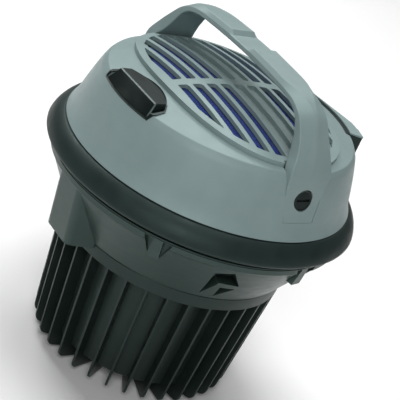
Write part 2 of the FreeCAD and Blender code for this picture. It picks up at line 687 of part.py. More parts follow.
def make_basket():
    body = turned("basket", [
        (D.hub_radius, 0), (D.hub_radius + 3, 0), (D.hub_radius + 3, D.core_foot),
        (D.core_foot_radius, D.core_foot),
        (D.core_radius, D.band_bottom), (D.band_radius, D.band_bottom),
        (D.band_radius, D.cone_foot_height - D.twist_play),
        (D.band_radius - D.wall, D.cone_foot_height - D.twist_play),
        (D.band_radius - D.wall, D.band_bottom + D.wall), (D.core_radius - D.wall, D.band_bottom + D.wall),
        (D.core_foot_radius - D.wall, D.core_foot + D.wall),
        (D.hub_radius, D.core_foot + D.wall)])
    rib_sketch = new_sketch(body, "rib_outline", "XZ_Plane", [[
        (D.hub_radius + 1, 0), (D.rib_inner, 0), (D.rib_tip_radius, D.rib_tip),
        (D.rib_foot_radius, D.rib_tip + 8.5, 8.4), (D.rib_top_radius, D.band_bottom + 1),
        (D.core_radius - 1.5, D.band_bottom + 1), (D.core_foot_radius - 1.5, D.core_foot + 1.5),
        (D.hub_radius + 1, D.core_foot + 1.5)]])
    rib = body.newObject("PartDesign::Pad", "rib")
    rib.Profile = rib_sketch
    rib.Midplane = True
    rib.setExpression("Length", D.rib_thick.formula)
    doc.recompute()
    fan = body.newObject("PartDesign::PolarPattern", "rib_fan")
    fan.Originals = [rib]
    fan.Axis = (rib_sketch, ["V_Axis"])
    fan.Angle = 360
    fan.Occurrences = int(D.rib_count.value)
    body.Tip = fan
    place(body, turn=D.rib_azimuth.value)
    pins = []
    for index, angle in enumerate(around(3, lambda _, turn: turn, BAYONET_START)):
        x, y = polar(D.band_radius.value - 1, angle)
        pin = cylinder("bayonet_pin_%d" % index, 2, 5.4, x, y, D.cone_foot_height - 5.2)
        inward = FreeCAD.Vector(-x, -y, 0).normalize()
        pin.Placement.Rotation = FreeCAD.Rotation(FreeCAD.Vector(0, 0, 1), inward)
        pins.append(pin)
    whole = doc.addObject("Part::MultiFuse", "basket_whole")
    whole.Shapes = [body] + pins
    keep(whole, "intake_basket")


# ---------------------------------------------------------------- intake filter and motor

def make_intake_filter():
    foam_bottom = D.core_foot + D.wall + 1
    keep(ring("intake_foam", size(56), D.core_foot_radius - 5, foam_bottom, size(128)), "intake_filter")
    rim = ring("screen_rim", D.inlet_radius - 2, D.inlet_radius + 5, D.deck_height - 3, D.deck_height - 0.3)
    bars = [box("screen_bar_%d" % index, 62, 1.6, 2, 0, 7 * (index - 4), D.deck_height - 2.6)
            for index in range(9)]
    screen = doc.addObject("Part::MultiFuse", "screen_joined")
    screen.Shapes = [rim] + bars
    keep(screen, "inlet_screen")


def make_fan_stage():
    deck_top = D.deck_height + D.wall
    keep(ring("gasket", size(52), size(66), deck_top + 0.2, D.can_bottom - 0.2), "lower_motor_gasket")
    can = D.can_radius
    keep(turned("can", [
        (24, D.can_bottom), (can, D.can_bottom), (can, D.can_top), (can - 1.5, D.can_top),
        (can - 1.5, D.can_bottom + 1.5), (24, D.can_bottom + 1.5)]), "fan_can")
    low = D.fan_bottom
    floor_disc = ring("fan_floor", size(26), D.fan_radius, low, low + D.fan_skin)
    roof_disc = ring("fan_roof", D.shaft_radius, D.fan_radius, D.fan_top - D.fan_skin, D.fan_top)
    hub = ring("fan_hub", D.shaft_radius, size(10), low, D.fan_top - 0.4)
    blades = around(BLADE_COUNT, lambda index, angle: fan_blade("fan_blade_%d" % index, angle,
                                                                27, 32.5, low + 0.7, 10.9))
    wheel = doc.addObject("Part::MultiFuse", "fan_joined")
    wheel.Shapes = [floor_disc, roof_disc, hub] + blades
    keep(wheel, "suction_impeller")
    above = D.diffuser_bottom
    plate = ring("diffuser_plate", size(14), can - 3, above, above + 2)
    vanes = around(BLADE_COUNT, lambda index, angle: fan_blade("vane_%d" % index, angle,
                                                               30, 34, above + 1.5, 8))
    diffuser = doc.addObject("Part::MultiFuse", "diffuser_joined")
    diffuser.Shapes = [plate] + vanes
    keep(diffuser, "fan_diffuser")


def fan_blade(name, angle, inner, length, bottom, height):
    """A straight swept blade, leaning back from the radius."""
    blade = bind(doc.addObject("Part::Box", name), Length=size(length), Width=size(1.4), Height=size(height))
    x, y = polar(inner, angle)
    return place(blade, x, y, bottom, angle + BLADE_SWEEP)


def make_motor_frame():
    can = D.can_radius
    seat = D.bearing_radius + D.running
    lower = D.can_top + 4
    upper = D.core_stack + D.stack_height + 23
    keep(turned("fan_end_plate", [
        (7, D.can_top + 0.4), (can, D.can_top + 0.4), (can, D.can_top + 3.4), (14.5, D.can_top + 3.4),
        (14.5, lower + D.bearing_width), (seat, lower + D.bearing_width), (seat, D.can_top + 3),
        (7, D.can_top + 3)]), "fan_end_bracket")
    bore = D.shaft_radius + D.running
    keep(ring("bearing_low", bore, D.bearing_radius, lower, lower + D.bearing_width), "lower_bearing")
    keep(ring("bearing_high", bore, D.bearing_radius, upper, upper + D.bearing_width), "upper_bearing")
    tube = ring("frame_tube", D.stator_radius + 0.2, D.stator_radius + 2.6, D.can_top + 3.7, upper - 1.4)
    windows = [box("frame_window_%d" % index, 120, 26, 10, 0, 0, height)
               for index, height in enumerate((203, 255))]
    keep(cut("frame_opened", tube, group("frame_windows", windows)), "motor_frame")
    keep(turned("top_plate", [
        (seat, upper - 1), (D.stator_radius + 2.6, upper - 1), (D.stator_radius + 2.6, upper + 2),
        (14.5, upper + 2), (14.5, upper + D.bearing_width), (seat, upper + D.bearing_width)]),
        "commutator_end_bracket")


def make_windings():
    low = D.core_stack
    high = D.core_stack + D.stack_height
    bore = D.armature_radius + D.air_gap
    keep(ring("stator", bore, D.stator_radius, low, high), "stator_core")
    keep(group("field_pair", [
        ring("field_low", bore + 2, D.stator_radius - 5, low - D.coil_rise, low - 0.3),
        ring("field_high", bore + 2, D.stator_radius - 5, high + 0.3, high + D.coil_rise)]), "field_coils")
    keep(ring("armature", D.shaft_radius, D.armature_radius, low, high), "armature_core")
    keep(group("armature_pair", [
        ring("armature_low", D.shaft_radius * 2, D.armature_radius - 3, low - D.coil_rise + 1, low - 0.3),
        ring("armature_high", D.shaft_radius * 2, D.armature_radius - 3, high + 0.3, high + D.coil_rise)]),
        "armature_windings")
    keep(ring("copper_drum", D.shaft_radius, D.armature_radius / 2, high + 8, high + 20), "commutator")
    keep(cylinder("shaft", D.shaft_radius, D.shaft_top - D.shaft_bottom, 0, 0, D.shaft_bottom), "motor_shaft")


def make_brushes():
    middle = D.core_stack + D.stack_height + 14
    holders = []
    brushes = []
    for side, label in ((1, "back"), (-1, "front")):
        case = box("holder_" + label, 11, 24, 12, 0, 27 * side, middle - 6)
        channel = box("holder_channel_" + label, 6.6, 40, 8.6, 0, 27 * side, middle - 4.3)
        holders.append(cut("holder_bored_" + label, case, channel))
        brushes.append(box("brush_" + label, 6.2, 18, 8.2, 0, 21.4 * side, middle - 4.1))
    keep(group("holder_pair", holders), "brush_holders")
    keep(group("brush_pair", brushes), "carbon_brushes")


def make_motor_top():
    low = D.cooler_bottom
    disc = ring("cooling_disc", D.shaft_radius, D.cooler_radius, low, low + D.fan_skin)
    blades = around(BLADE_COUNT, lambda index, angle: fan_blade("cooling_%d" % index, angle,
                                                                14, 18.5, low + 0.6, 4.6))
    wheel = doc.addObject("Part::MultiFuse", "cooling_joined")
    wheel.Shapes = [disc] + blades
    keep(wheel, "cooling_fan")
    inner = D.cap_radius - D.cap_wall
    keep(turned("cap", [
        (inner, D.cap_bottom), (D.cap_radius, D.cap_bottom), (D.cap_radius, D.cap_top), (18, D.cap_top),
        (18, D.cap_top - 1.8), (inner, D.cap_top - 1.8)]), "motor_cap")
    seal_foot = D.cap_bottom + 4
    seal_ring = ring("top_seal", D.cap_radius + 0.3, D.cap_radius + 6.6, seal_foot, seal_foot + 10)
    keep(seal_ring, "upper_motor_seal")
    keep(ring("carrier", D.cap_radius + 7, size(104), seal_foot + 3, seal_foot + 6), "motor_carrier")
    deck_top = D.deck_height + D.wall
    keep(ring("sleeve", D.sleeve_inner, D.sleeve_outer, deck_top + 0.3, size(238)), "sound_sleeve")


# ---------------------------------------------------------------- the whole head

THROUGH = Size(50, "50")
ROOF_INNER = 36.0
WINDOW_START = 117.0
WINDOW_RISE = 12.0
POST_HEIGHT = 18.0
VENT_COUNT = 7
VENT_PITCH = 16.0
SEAT_GAP = 0.1
GROOVE_DEPTH = 4.0
SLOT_COLUMNS = int(D.slot_columns.value)
BLIND_COLUMNS = (SLOT_COLUMNS // 2 - 1, SLOT_COLUMNS // 2)
POST_CIRCLE = 135.0
SCREW_COUNT = 6
SCREW_START = 30.0
GRIP_BEND = 46.0
ARMPIT_BEND = 36.0
GRIP_ARCH = 834.0
SWITCH_Y = 113.0
GLAND_HEIGHT = 294.0
GLAND_LENGTH = 7.5
TAB_ANGLES = (12.0, 72.0, 132.0, 192.0, 312.0)
TWIST = 14.0
BAYONET_START = 60.0
BLADE_COUNT = 9
BLADE_SWEEP = 35.0

make_top_cover()
make_grille_panel()
make_exhaust_foam()
make_foam_tray()
make_carry_handle()
make_coin_screws()
make_handle_anchors()
make_push_button()
make_button_bezel()
make_switch()
make_cord_inlet()
make_rim_seal()
make_collar()
make_cover_screws()
make_basket()
make_intake_filter()
make_fan_stage()
make_motor_frame()
make_windings()
make_brushes()
make_motor_top()
doc.recompute()

broken = [item.Name for item in doc.Objects if "Invalid" in item.State or "Error" in item.State]
for item in nodes:
    if item.Shape.isNull() or not item.Shape.isValid() or item.Shape.Volume <= 0:
        broken.append(item.Label)
if broken:
    raise SystemExit("not written, because these failed: " + ", ".join(broken))

os.makedirs("parts", exist_ok=True)
for item in nodes:
    item.Shape.exportStep("parts/" + item.Label + ".step")
    print("%-24s %2d solids %10.0f mm3" % (item.Label, len(item.Shape.Solids), item.Shape.Volume))
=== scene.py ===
import math
import random

import bmesh
import bpy
from mathutils import Matrix, Vector


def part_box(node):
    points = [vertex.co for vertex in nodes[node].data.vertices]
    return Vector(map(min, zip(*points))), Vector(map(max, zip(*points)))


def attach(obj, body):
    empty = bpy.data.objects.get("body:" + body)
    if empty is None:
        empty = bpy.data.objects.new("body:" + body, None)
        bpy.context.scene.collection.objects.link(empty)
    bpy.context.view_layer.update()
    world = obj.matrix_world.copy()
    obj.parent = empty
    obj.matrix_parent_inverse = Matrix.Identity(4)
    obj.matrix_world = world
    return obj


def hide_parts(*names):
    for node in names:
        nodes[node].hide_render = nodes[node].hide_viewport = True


# The motor head of a tub power filter. Metres, +Z up, +X along the handle, -Y towards the push button.
# The outer pieces and the foams are built here in mesh code. The inner parts are the frame's own, dressed.

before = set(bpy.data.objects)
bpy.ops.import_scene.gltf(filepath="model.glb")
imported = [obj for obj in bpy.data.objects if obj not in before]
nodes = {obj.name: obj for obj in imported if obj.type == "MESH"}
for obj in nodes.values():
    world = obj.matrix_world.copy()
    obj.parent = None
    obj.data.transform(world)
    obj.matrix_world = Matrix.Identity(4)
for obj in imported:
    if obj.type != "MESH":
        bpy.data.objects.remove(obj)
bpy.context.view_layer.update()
MM = 0.001


# ---------------------------------------------------------------- places, read from the frame

def top_of(node):
    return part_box(node)[1].z


def foot_of(node):
    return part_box(node)[0].z


def radius_of(node):
    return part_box(node)[1].x


RIM_RADIUS = radius_of("top_cover")
RIM_HEIGHT = foot_of("top_cover")
ROOF_ARC = 527 * MM
PANEL_HALF_X = 124.5 * MM
PANEL_HALF_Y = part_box("grille_panel")[1].y
PANEL_APEX = top_of("grille_panel")
ROOF_APEX = PANEL_APEX - 4.8 * MM
COIN_REACH = 138.6 * MM
COIN_HEIGHT = 281.4 * MM
COIN_RADIUS = 10.6 * MM
COIN_TILT = math.radians(14)
BUTTON_TOP = top_of("push_button")
BUTTON_HALF = 37.5 * MM
BUTTON_FRONT = 133.2 * MM
BUTTON_BACK = 95.5 * MM
BUTTON_CORNER = 111 * MM
SEAL_RADIUS = radius_of("rim_seal")
SEAL_TOP = top_of("rim_seal")
SEAL_FOOT = foot_of("rim_seal")
BAND_RADIUS = radius_of("intake_basket")
RIB_COUNT = 34
RIB_START = math.radians(-45)
RIB_THICK = 2.4 * MM
TOOL_LOW = 280 * MM
TOOL_HIGH = 340 * MM


def sphere_height(radius, apex):
    """How high a roof with that apex stands at a radius."""
    return apex - ROOF_ARC + math.sqrt(ROOF_ARC * ROOF_ARC - radius * radius)


# ---------------------------------------------------------------- outlines

def rounded(corners, steps=6):
    """Points along a path of corners (a, b) or (a, b, fillet radius)."""
    path = []
    count = len(corners)
    for index, corner in enumerate(corners):
        here = Vector(corner[:2])
        fillet = corner[2] if len(corner) > 2 else 0
        if not fillet or index in (0, count - 1):
            path.append(here)
            continue
        before = Vector(corners[index - 1][:2])
        after = Vector(corners[index + 1][:2])
        path += fillet_points(before, here, after, fillet, steps)
    return path


def rounded_loop(corners, steps=6):
    """The same for a closed outline."""
    path = []
    count = len(corners)
    for index, corner in enumerate(corners):
        here = Vector(corner[:2])
        fillet = corner[2] if len(corner) > 2 else 0
        before = Vector(corners[index - 1][:2])
        after = Vector(corners[(index + 1) % count][:2])
        path += fillet_points(before, here, after, fillet, steps) if fillet else [here]
    return path


def fillet_points(before, here, after, radius, steps):
    into = (here - before).normalized()
    out = (after - here).normalized()
    bend = into.angle(out)
    if bend < 0.01:
        return [here]
    reach = min(radius * math.tan(bend / 2), (here - before).length * 0.499, (after - here).length * 0.499)
    start = here - into * reach
    end = here + out * reach
    points = []
    for step in range(steps + 1):
        t = step / steps
        points.append((start * (1 - t) + here * t) * (1 - t) + (here * (1 - t) + end * t) * t)
    return points


def superellipse(half_x, half_y, power, count):
    """An oval that turns squarer as its power goes up from 2."""
    points = []
    for index in range(count):
        angle = math.tau * index / count
        c = math.cos(angle)
        s = math.sin(angle)
        points.append(Vector((half_x * math.copysign(abs(c) ** (2 / power), c),
                              half_y * math.copysign(abs(s) ** (2 / power), s))))
    return points


def arc_profile(start, end, radius, steps=12):
    """Points (r, z) on an arc from start to end; a positive radius bulges to the right of the way along."""
    a = Vector(start)
    b = Vector(end)
    half = (b - a).length / 2
    side = Vector((-(b - a).y, (b - a).x)).normalized()
    centre = (a + b) / 2 + side * math.copysign(math.sqrt(radius * radius - half * half), radius)
    first = math.atan2(a.y - centre.y, a.x - centre.x)
    turn = math.atan2(b.y - centre.y, b.x - centre.x) - first
    turn = (turn + math.pi) % math.tau - math.pi
    return [Vector((centre.x + math.cos(first + turn * step / steps) * abs(radius),
                    centre.y + math.sin(first + turn * step / steps) * abs(radius)))
            for step in range(steps + 1)]


# ---------------------------------------------------------------- meshes

def new_object(name, mesh_data):
    mesh = bpy.data.meshes.new(name)
    mesh_data.to_mesh(mesh)
    mesh_data.free()
    item = bpy.data.objects.new(name, mesh)
    bpy.context.scene.collection.objects.link(item)
    return item


def lathe(name, profile, steps=192):
    """A closed outline of (r, z) turned about Z. Points on the axis become poles."""
    bm = bmesh.new()
    rings = []
    for point in profile:
        if point[0] < 1e-7:
            rings.append([bm.verts.new((0, 0, point[1]))])
        else:
            rings.append([bm.verts.new((point[0] * math.cos(math.tau * k / steps),
                                        point[0] * math.sin(math.tau * k / steps), point[1]))
                          for k in range(steps)])
    for first, second in zip(rings, rings[1:] + rings[:1]):
        for k in range(steps):
            corners = []
            for vert in (first[k % len(first)], first[(k + 1) % len(first)],
                         second[(k + 1) % len(second)], second[k % len(second)]):
                if vert not in corners:
                    corners.append(vert)
            if len(corners) > 2:
                bm.faces.new(corners)
    bmesh.ops.recalc_face_normals(bm, faces=bm.faces)
    return new_object(name, bm)


def prism(name, outline, low, high):
    """An outline of (x, y) raised from low to high."""
    bm = bmesh.new()
    floor = [bm.verts.new((point[0], point[1], low)) for point in outline]
    roof = [bm.verts.new((point[0], point[1], high)) for point in outline]
    bm.faces.new(floor)
    bm.faces.new(roof)
    for k in range(len(outline)):
        j = (k + 1) % len(outline)
        bm.faces.new((floor[k], floor[j], roof[j], roof[k]))
    bmesh.ops.recalc_face_normals(bm, faces=bm.faces)
    return new_object(name, bm)


def loft(name, sections):
    """Closed sections with equal numbers of points, joined in order and capped."""
    bm = bmesh.new()
    rings = [[bm.verts.new(point) for point in section] for section in sections]
    for first, second in zip(rings, rings[1:]):
        for k in range(len(first)):
            j = (k + 1) % len(first)
            bm.faces.new((first[k], first[j], second[j], second[k]))
    caps = [bm.faces.new(rings[0]), bm.faces.new(rings[-1])]
    bmesh.ops.triangulate(bm, faces=caps)
    bmesh.ops.recalc_face_normals(bm, faces=bm.faces)
    return new_object(name, bm)


def apply_modifiers(item):
    bpy.context.view_layer.update()
    graph = bpy.context.evaluated_depsgraph_get()
    mesh = bpy.data.meshes.new_from_object(item.evaluated_get(graph))
    old = item.data
    item.modifiers.clear()
    item.data = mesh
    bpy.data.meshes.remove(old)


def combine(item, tools, operation):
    """Cuts the tools from an item, or joins them to it, and removes them."""
    for tool in tools:
        change = item.modifiers.new("combine", "BOOLEAN")
        change.operation = operation
        change.solver = "EXACT"
        change.object = tool
    apply_modifiers(item)
    for tool in tools:
        bpy.data.objects.remove(tool)
    return item


def cut(item, *tools):
    return combine(item, tools, "DIFFERENCE")


def fuse(item, *tools):
    return combine(item, tools, "UNION")


def keep_common(item, *tools):
    return combine(item, tools, "INTERSECT")


def clean(item):
    bm = bmesh.new()
    bm.from_mesh(item.data)
    bmesh.ops.remove_doubles(bm, verts=bm.verts, dist=2e-6)
    bmesh.ops.dissolve_degenerate(bm, dist=2e-6, edges=bm.edges)
    bm.to_mesh(item.data)
    bm.free()


def soften(item, width, segments=2, angle=28):
    """Rounds the sharp edges and shades the rest smooth."""
    clean(item)
    bevel = item.modifiers.new("bevel", "BEVEL")
    bevel.width = width
    bevel.segments = segments
    bevel.limit_method = "ANGLE"
    bevel.angle_limit = math.radians(angle)
    bevel.use_clamp_overlap = True
    apply_modifiers(item)
    return shade(item, 40)


def shade(item, angle):
    """Smooth shading, except across edges sharper than the angle."""
    bm = bmesh.new()
    bm.from_mesh(item.data)
    limit = math.radians(angle)
    for face in bm.faces:
        face.smooth = True
    for edge in bm.edges:
        edge.smooth = len(edge.link_faces) == 2 and edge.calc_face_angle(0) < limit
    bm.to_mesh(item.data)
    bm.free()
    weights = item.modifiers.new("weighted", "WEIGHTED_NORMAL")
    weights.keep_sharp = True
    weights.weight = 60
    return item


def slice_grid(item, step):
    """Divides long faces with planes a step apart along X and Y, so that the piece can be bent."""
    bm = bmesh.new()
    bm.from_mesh(item.data)
    for number in (0, 1):
        low = min(vert.co[number] for vert in bm.verts)
        high = max(vert.co[number] for vert in bm.verts)
        normal = Vector((number == 0, number == 1, 0))
        place = math.ceil(low / step) * step
        while place < high:
            bmesh.ops.bisect_plane(bm, geom=bm.verts[:] + bm.edges[:] + bm.faces[:], dist=1e-6,
                                   plane_co=normal * place, plane_no=normal)
            place += step
    bm.to_mesh(item.data)
    bm.free()


def turn_about_z(item, angle):
    item.data.transform(Matrix.Rotation(angle, 4, "Z"))
    return item


def wear(item, material):
    item.data.materials.clear()
    item.data.materials.append(material)


def finish_piece(item, body, material, replaced):
    """Dresses a piece and says which body it rides on and which node of the frame it stands for."""
    wear(item, material)
    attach(item, body)
    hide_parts(replaced)


# ---------------------------------------------------------------- materials

def start_material(name, colour, roughness, metallic=0.0):
    material = bpy.data.materials.new(name)
    material.use_nodes = True
    material.diffuse_color = (*colour, 1)
    tree = material.node_tree
    shader = tree.nodes["Principled BSDF"]
    shader.inputs["Metallic"].default_value = metallic
    shader.inputs["Roughness"].default_value = roughness
    place = tree.nodes.new("ShaderNodeTexCoord").outputs["Object"]
    return material, tree, shader, place


def noise(tree, place, scale, detail=3.0, stretch=None):
    if stretch:
        mapping = tree.nodes.new("ShaderNodeMapping")
        mapping.inputs["Scale"].default_value = stretch
        tree.links.new(place, mapping.inputs["Vector"])
        place = mapping.outputs["Vector"]
    texture = tree.nodes.new("ShaderNodeTexNoise")
    texture.inputs["Scale"].default_value = scale
    texture.inputs["Detail"].default_value = detail
    tree.links.new(place, texture.inputs["Vector"])
    return texture.outputs["Fac"]


def remap(tree, value, low, high, span=(0.3, 0.7)):
    node = tree.nodes.new("ShaderNodeMapRange")
    node.inputs["From Min"].default_value = span[0]
    node.inputs["From Max"].default_value = span[1]
    node.inputs["To Min"].default_value = low
    node.inputs["To Max"].default_value = high
    tree.links.new(value, node.inputs["Value"])
    return node.outputs["Result"]


def blend_colours(tree, value, first, second):
    ramp = tree.nodes.new("ShaderNodeValToRGB")
    ramp.color_ramp.elements[0].position = 0.3
    ramp.color_ramp.elements[0].color = (*first, 1)
    ramp.color_ramp.elements[1].position = 0.7
    ramp.color_ramp.elements[1].color = (*second, 1)
    tree.links.new(value, ramp.inputs["Fac"])
    return ramp.outputs["Color"]


def scaled(colour, factor):
    return tuple(min(1.0, part * factor) for part in colour)


def add_bump(tree, shader, value, strength, distance):
    bump = tree.nodes.new("ShaderNodeBump")
    bump.inputs["Strength"].default_value = strength
    bump.inputs["Distance"].default_value = distance
    tree.links.new(value, bump.inputs["Height"])
    tree.links.new(bump.outputs["Normal"], shader.inputs["Normal"])


SHEEN_TINT = (0.74, 1.0, 0.94, 1)


def moulded(name, colour, roughness, grain=1500.0, depth=0.12, mottling=0.05, spread=0.05, specular=0.4):
    """Injection-moulded plastic: a fine spark-eroded grain, slight mottling and uneven gloss."""
    material, tree, shader, place = start_material(name, colour, roughness)
    shader.inputs["Specular IOR Level"].default_value = specular
    shader.inputs["Specular Tint"].default_value = SHEEN_TINT
    cloudy = noise(tree, place, 26.0)
    tree.links.new(blend_colours(tree, cloudy, scaled(colour, 1 - mottling), scaled(colour, 1 + mottling)),
                   shader.inputs["Base Color"])
    smears = noise(tree, place, 60.0, 2.0, (1, 1, 2.5))
    tree.links.new(remap(tree, smears, roughness - spread, roughness + spread), shader.inputs["Roughness"])
    add_bump(tree, shader, noise(tree, place, grain, 2.0), depth, 0.0002)
    return material


def rubbery(name, colour):
    """Moulded rubber: dusty bloom over a soft dark surface."""
    material, tree, shader, place = start_material(name, colour, 0.5)
    shader.inputs["Specular IOR Level"].default_value = 0.32
    shader.inputs["Specular Tint"].default_value = SHEEN_TINT
    bloom = noise(tree, place, 45.0, 5.0)
    tree.links.new(blend_colours(tree, bloom, scaled(colour, 0.9), scaled(colour, 1.2)),
                   shader.inputs["Base Color"])
    tree.links.new(remap(tree, bloom, 0.42, 0.58), shader.inputs["Roughness"])
    add_bump(tree, shader, noise(tree, place, 900.0, 3.0), 0.15, 0.0002)
    return material


def foamy(name, colour, cell=420.0):
    """Open-cell foam: thin bright cell walls, with painted shade darkening the pores between them."""
    material, tree, shader, place = start_material(name, colour, 0.9)
    shader.inputs["Specular IOR Level"].default_value = 0.2
    shader.inputs["Sheen Weight"].default_value = 0.08
    cells = tree.nodes.new("ShaderNodeTexVoronoi")
    cells.feature = "DISTANCE_TO_EDGE"
    cells.inputs["Scale"].default_value = cell
    tree.links.new(place, cells.inputs["Vector"])
    cell_walls_and_pore_shade = remap(tree, cells.outputs["Distance"], 1.0, 0.0, (0.0, 0.35))
    # The base colour darkens inside the pores: painted shade in the cells' hollows.
    tree.links.new(blend_colours(tree, cell_walls_and_pore_shade, scaled(colour, 0.35), scaled(colour, 1.15)),
                   shader.inputs["Base Color"])
    add_bump(tree, shader, cell_walls_and_pore_shade, 0.7, 0.0008)
    return material


def metallic(name, colour, roughness, stretch=(1, 1, 1), grain=300.0):
    """Bare metal with drawn or turned marks."""
    material, tree, shader, place = start_material(name, colour, roughness, 1.0)
    marks = noise(tree, place, grain, 4.0, stretch)
    tree.links.new(blend_colours(tree, marks, scaled(colour, 0.85), scaled(colour, 1.1)),
                   shader.inputs["Base Color"])
    tree.links.new(remap(tree, marks, roughness - 0.08, roughness + 0.1), shader.inputs["Roughness"])
    add_bump(tree, shader, marks, 0.08, 0.0001)
    return material


def wound(name, colour):
    """Lacquered wire wound round the axis: fine bands along Z and round it, with painted shade darkening the
    grooves between turns.
    """
    material, tree, shader, place = start_material(name, colour, 0.35, 0.8)
    wave = tree.nodes.new("ShaderNodeTexWave")
    wave.wave_type = "RINGS"
    wave.rings_direction = "Z"
    wave.inputs["Scale"].default_value = 260.0
    wave.inputs["Distortion"].default_value = 1.5
    tree.links.new(place, wave.inputs["Vector"])
    # Darker in each band's trough: painted shade in the grooves between the turns of wire.
    tree.links.new(blend_colours(tree, wave.outputs["Fac"], scaled(colour, 0.45), colour),
                   shader.inputs["Base Color"])
    add_bump(tree, shader, wave.outputs["Fac"], 0.6, 0.0004)
    return material


cover_grey = moulded("cover_grey", (0.232, 0.308, 0.308), 0.42)
grille_grey = moulded("grille_grey", (0.232, 0.308, 0.308), 0.42)
button_black = moulded("button_black", (0.0048, 0.008, 0.0076), 0.36, mottling=0.12)
collar_dark = moulded("collar_dark", (0.0256, 0.0424, 0.0376), 0.36, mottling=0.1, specular=0.48)
basket_dark = moulded("basket_dark", (0.0112, 0.0184, 0.016), 0.4, mottling=0.12)
inner_dark = moulded("inner_dark", (0.024, 0.0256, 0.0256), 0.55, grain=900.0)
seal_black = rubbery("seal_black", (0.0128, 0.0224, 0.0208))
foam_blue = foamy("foam_blue", (0.008, 0.0288, 0.168))
foam_grey = foamy("foam_grey", (0.128, 0.128, 0.128))
plated = metallic("plated_steel", (0.6, 0.6, 0.58), 0.3, (1, 1, 12))
ground_steel = metallic("ground_steel", (0.65, 0.65, 0.66), 0.2, (1, 1, 20))
laminated = metallic("lamination_steel", (0.3, 0.3, 0.32), 0.45, (1, 1, 60))
cast_alloy = metallic("fan_aluminium", (0.68, 0.69, 0.7), 0.38, grain=160.0)
copper_wire = wound("copper_wire", (0.62, 0.28, 0.12))
carbon_block = moulded("carbon_block", (0.024, 0.024, 0.0256), 0.7, grain=700.0, depth=0.3)


# ---------------------------------------------------------------- dome

CREASE = (129.8 * MM, 304.6 * MM)
SHOULDER = (134.8 * MM, 296.2 * MM)
SHOULDER_END = (131 * MM, 303 * MM)
WAIST = (144.9 * MM, 260.5 * MM)
WALL = 3 * MM
BAY_EDGE = 40 * MM
LEG_FOOT_HALF = 18.6 * MM
LEG_HALF = 25 * MM


def dome_outline(grow):
    """The dome's outer line from the rim to the axis, moved out by a small amount."""
    def out(point):
        return (point[0] + grow, point[1])

    flare = arc_profile(out((RIM_RADIUS, RIM_HEIGHT)), out(WAIST), -70 * MM)
    flank = arc_profile(out(WAIST), out(SHOULDER), 400 * MM)[1:]
    edge_end = (SHOULDER_END[0] + grow, SHOULDER_END[1] + grow * 0.5)
    edge = arc_profile(out(SHOULDER), edge_end, 21 * MM, 6)[1:]
    radii = [radius * MM for radius in range(126, 0, -3)]
    roof = [Vector((radius, sphere_height(radius, ROOF_APEX) + grow)) for radius in radii]
    crease = Vector((CREASE[0] + grow, CREASE[1] + grow))
    corner = fillet_points(edge[-1], crease, roof[0], 3.2 * MM, 6)
    return flare + flank + edge[:-1] + corner + roof + [Vector((0, ROOF_APEX + grow))]


def dome_blank(name, grow):
    """The whole space under the dome, for cutting other pieces to its surface."""
    foot = RIM_HEIGHT - 5 * MM
    return lathe(name, [(0, foot), (RIM_RADIUS + grow, foot)] + dome_outline(grow), 192)


def leg_window(side, grow, start):
    """The opening in the dome for one foot of the handle."""
    low = foot_of("carry_handle") - grow
    high = CREASE[1] + 15 * MM
    foot = LEG_FOOT_HALF + grow
    leg = LEG_HALF + grow
    outline = [(-foot, low), (foot, low), (leg, CREASE[1]), (leg, high), (-leg, high), (-leg, CREASE[1])]
    end = start + 50 * MM
    return loft("leg_window", [[Vector((side * x, y, z)) for y, z in outline] for x in (start, end)])


def button_outline(grow, half, front, back, corner, bowed):
    """A D from above. Its front edge is straight or bowed round the middle of the dome. Its back edge is an
    arc, nearest to the middle at back and ending on the short sides at corner."""
    wide = half + grow
    curve = (half * half + (corner - back) ** 2) / (2 * (corner - back)) + grow
    points = []
    for step in range(25):
        x = wide * (step / 12 - 1)
        points.append(Vector((x, -math.sqrt((front + grow) ** 2 - x * x) if bowed else -front - grow)))
    for step in range(25):
        x = wide * (1 - step / 12)
        points.append(Vector((x, math.sqrt(curve * curve - x * x) - curve + grow - back)))
    return points


def button_base(grow, narrower=0.0):
    return button_outline(grow, BUTTON_HALF - narrower, BUTTON_FRONT, BUTTON_BACK, BUTTON_CORNER, True)


def make_cover():
    """The dome's shell, open at the foam bay, the button and the feet of the handle."""
    outer = dome_outline(0)
    under = [(point[0] - WALL, point[1] - (WALL if point[1] > SHOULDER[1] else 0)) for point in outer]
    wall = [point for point in outer if point[0] > BAY_EDGE]
    wall += [point for point in reversed(under) if point[0] > BAY_EDGE]
    shell = lathe("cover_shell", wall, 240)
    bay = prism("bay", superellipse(115.5 * MM, 82 * MM, 2.05, 96), TOOL_LOW, TOOL_HIGH)
    button_hole = prism("button_hole", button_base(0.6 * MM), TOOL_LOW, TOOL_HIGH)
    cut(shell, bay, button_hole, *[leg_window(side, 0.3 * MM, 117 * MM) for side in (1, -1)])
    finish_piece(soften(shell, 0.5 * MM, 2, 32), "head", cover_grey, "top_cover")


# ---------------------------------------------------------------- grille panel and foam

SLOT_PITCH = 16.4 * MM
SLOT_WIDTH = 11.2 * MM
SLOT_COLUMNS = 10
BAR_HALF = 5 * MM
PANEL_POWER = 2.27
PANEL_DEPTH = 4.0 * MM
BLIND_DEPTH = 3.2 * MM
RIM_BAND = 9 * MM
RIM_WALL = 4.5 * MM


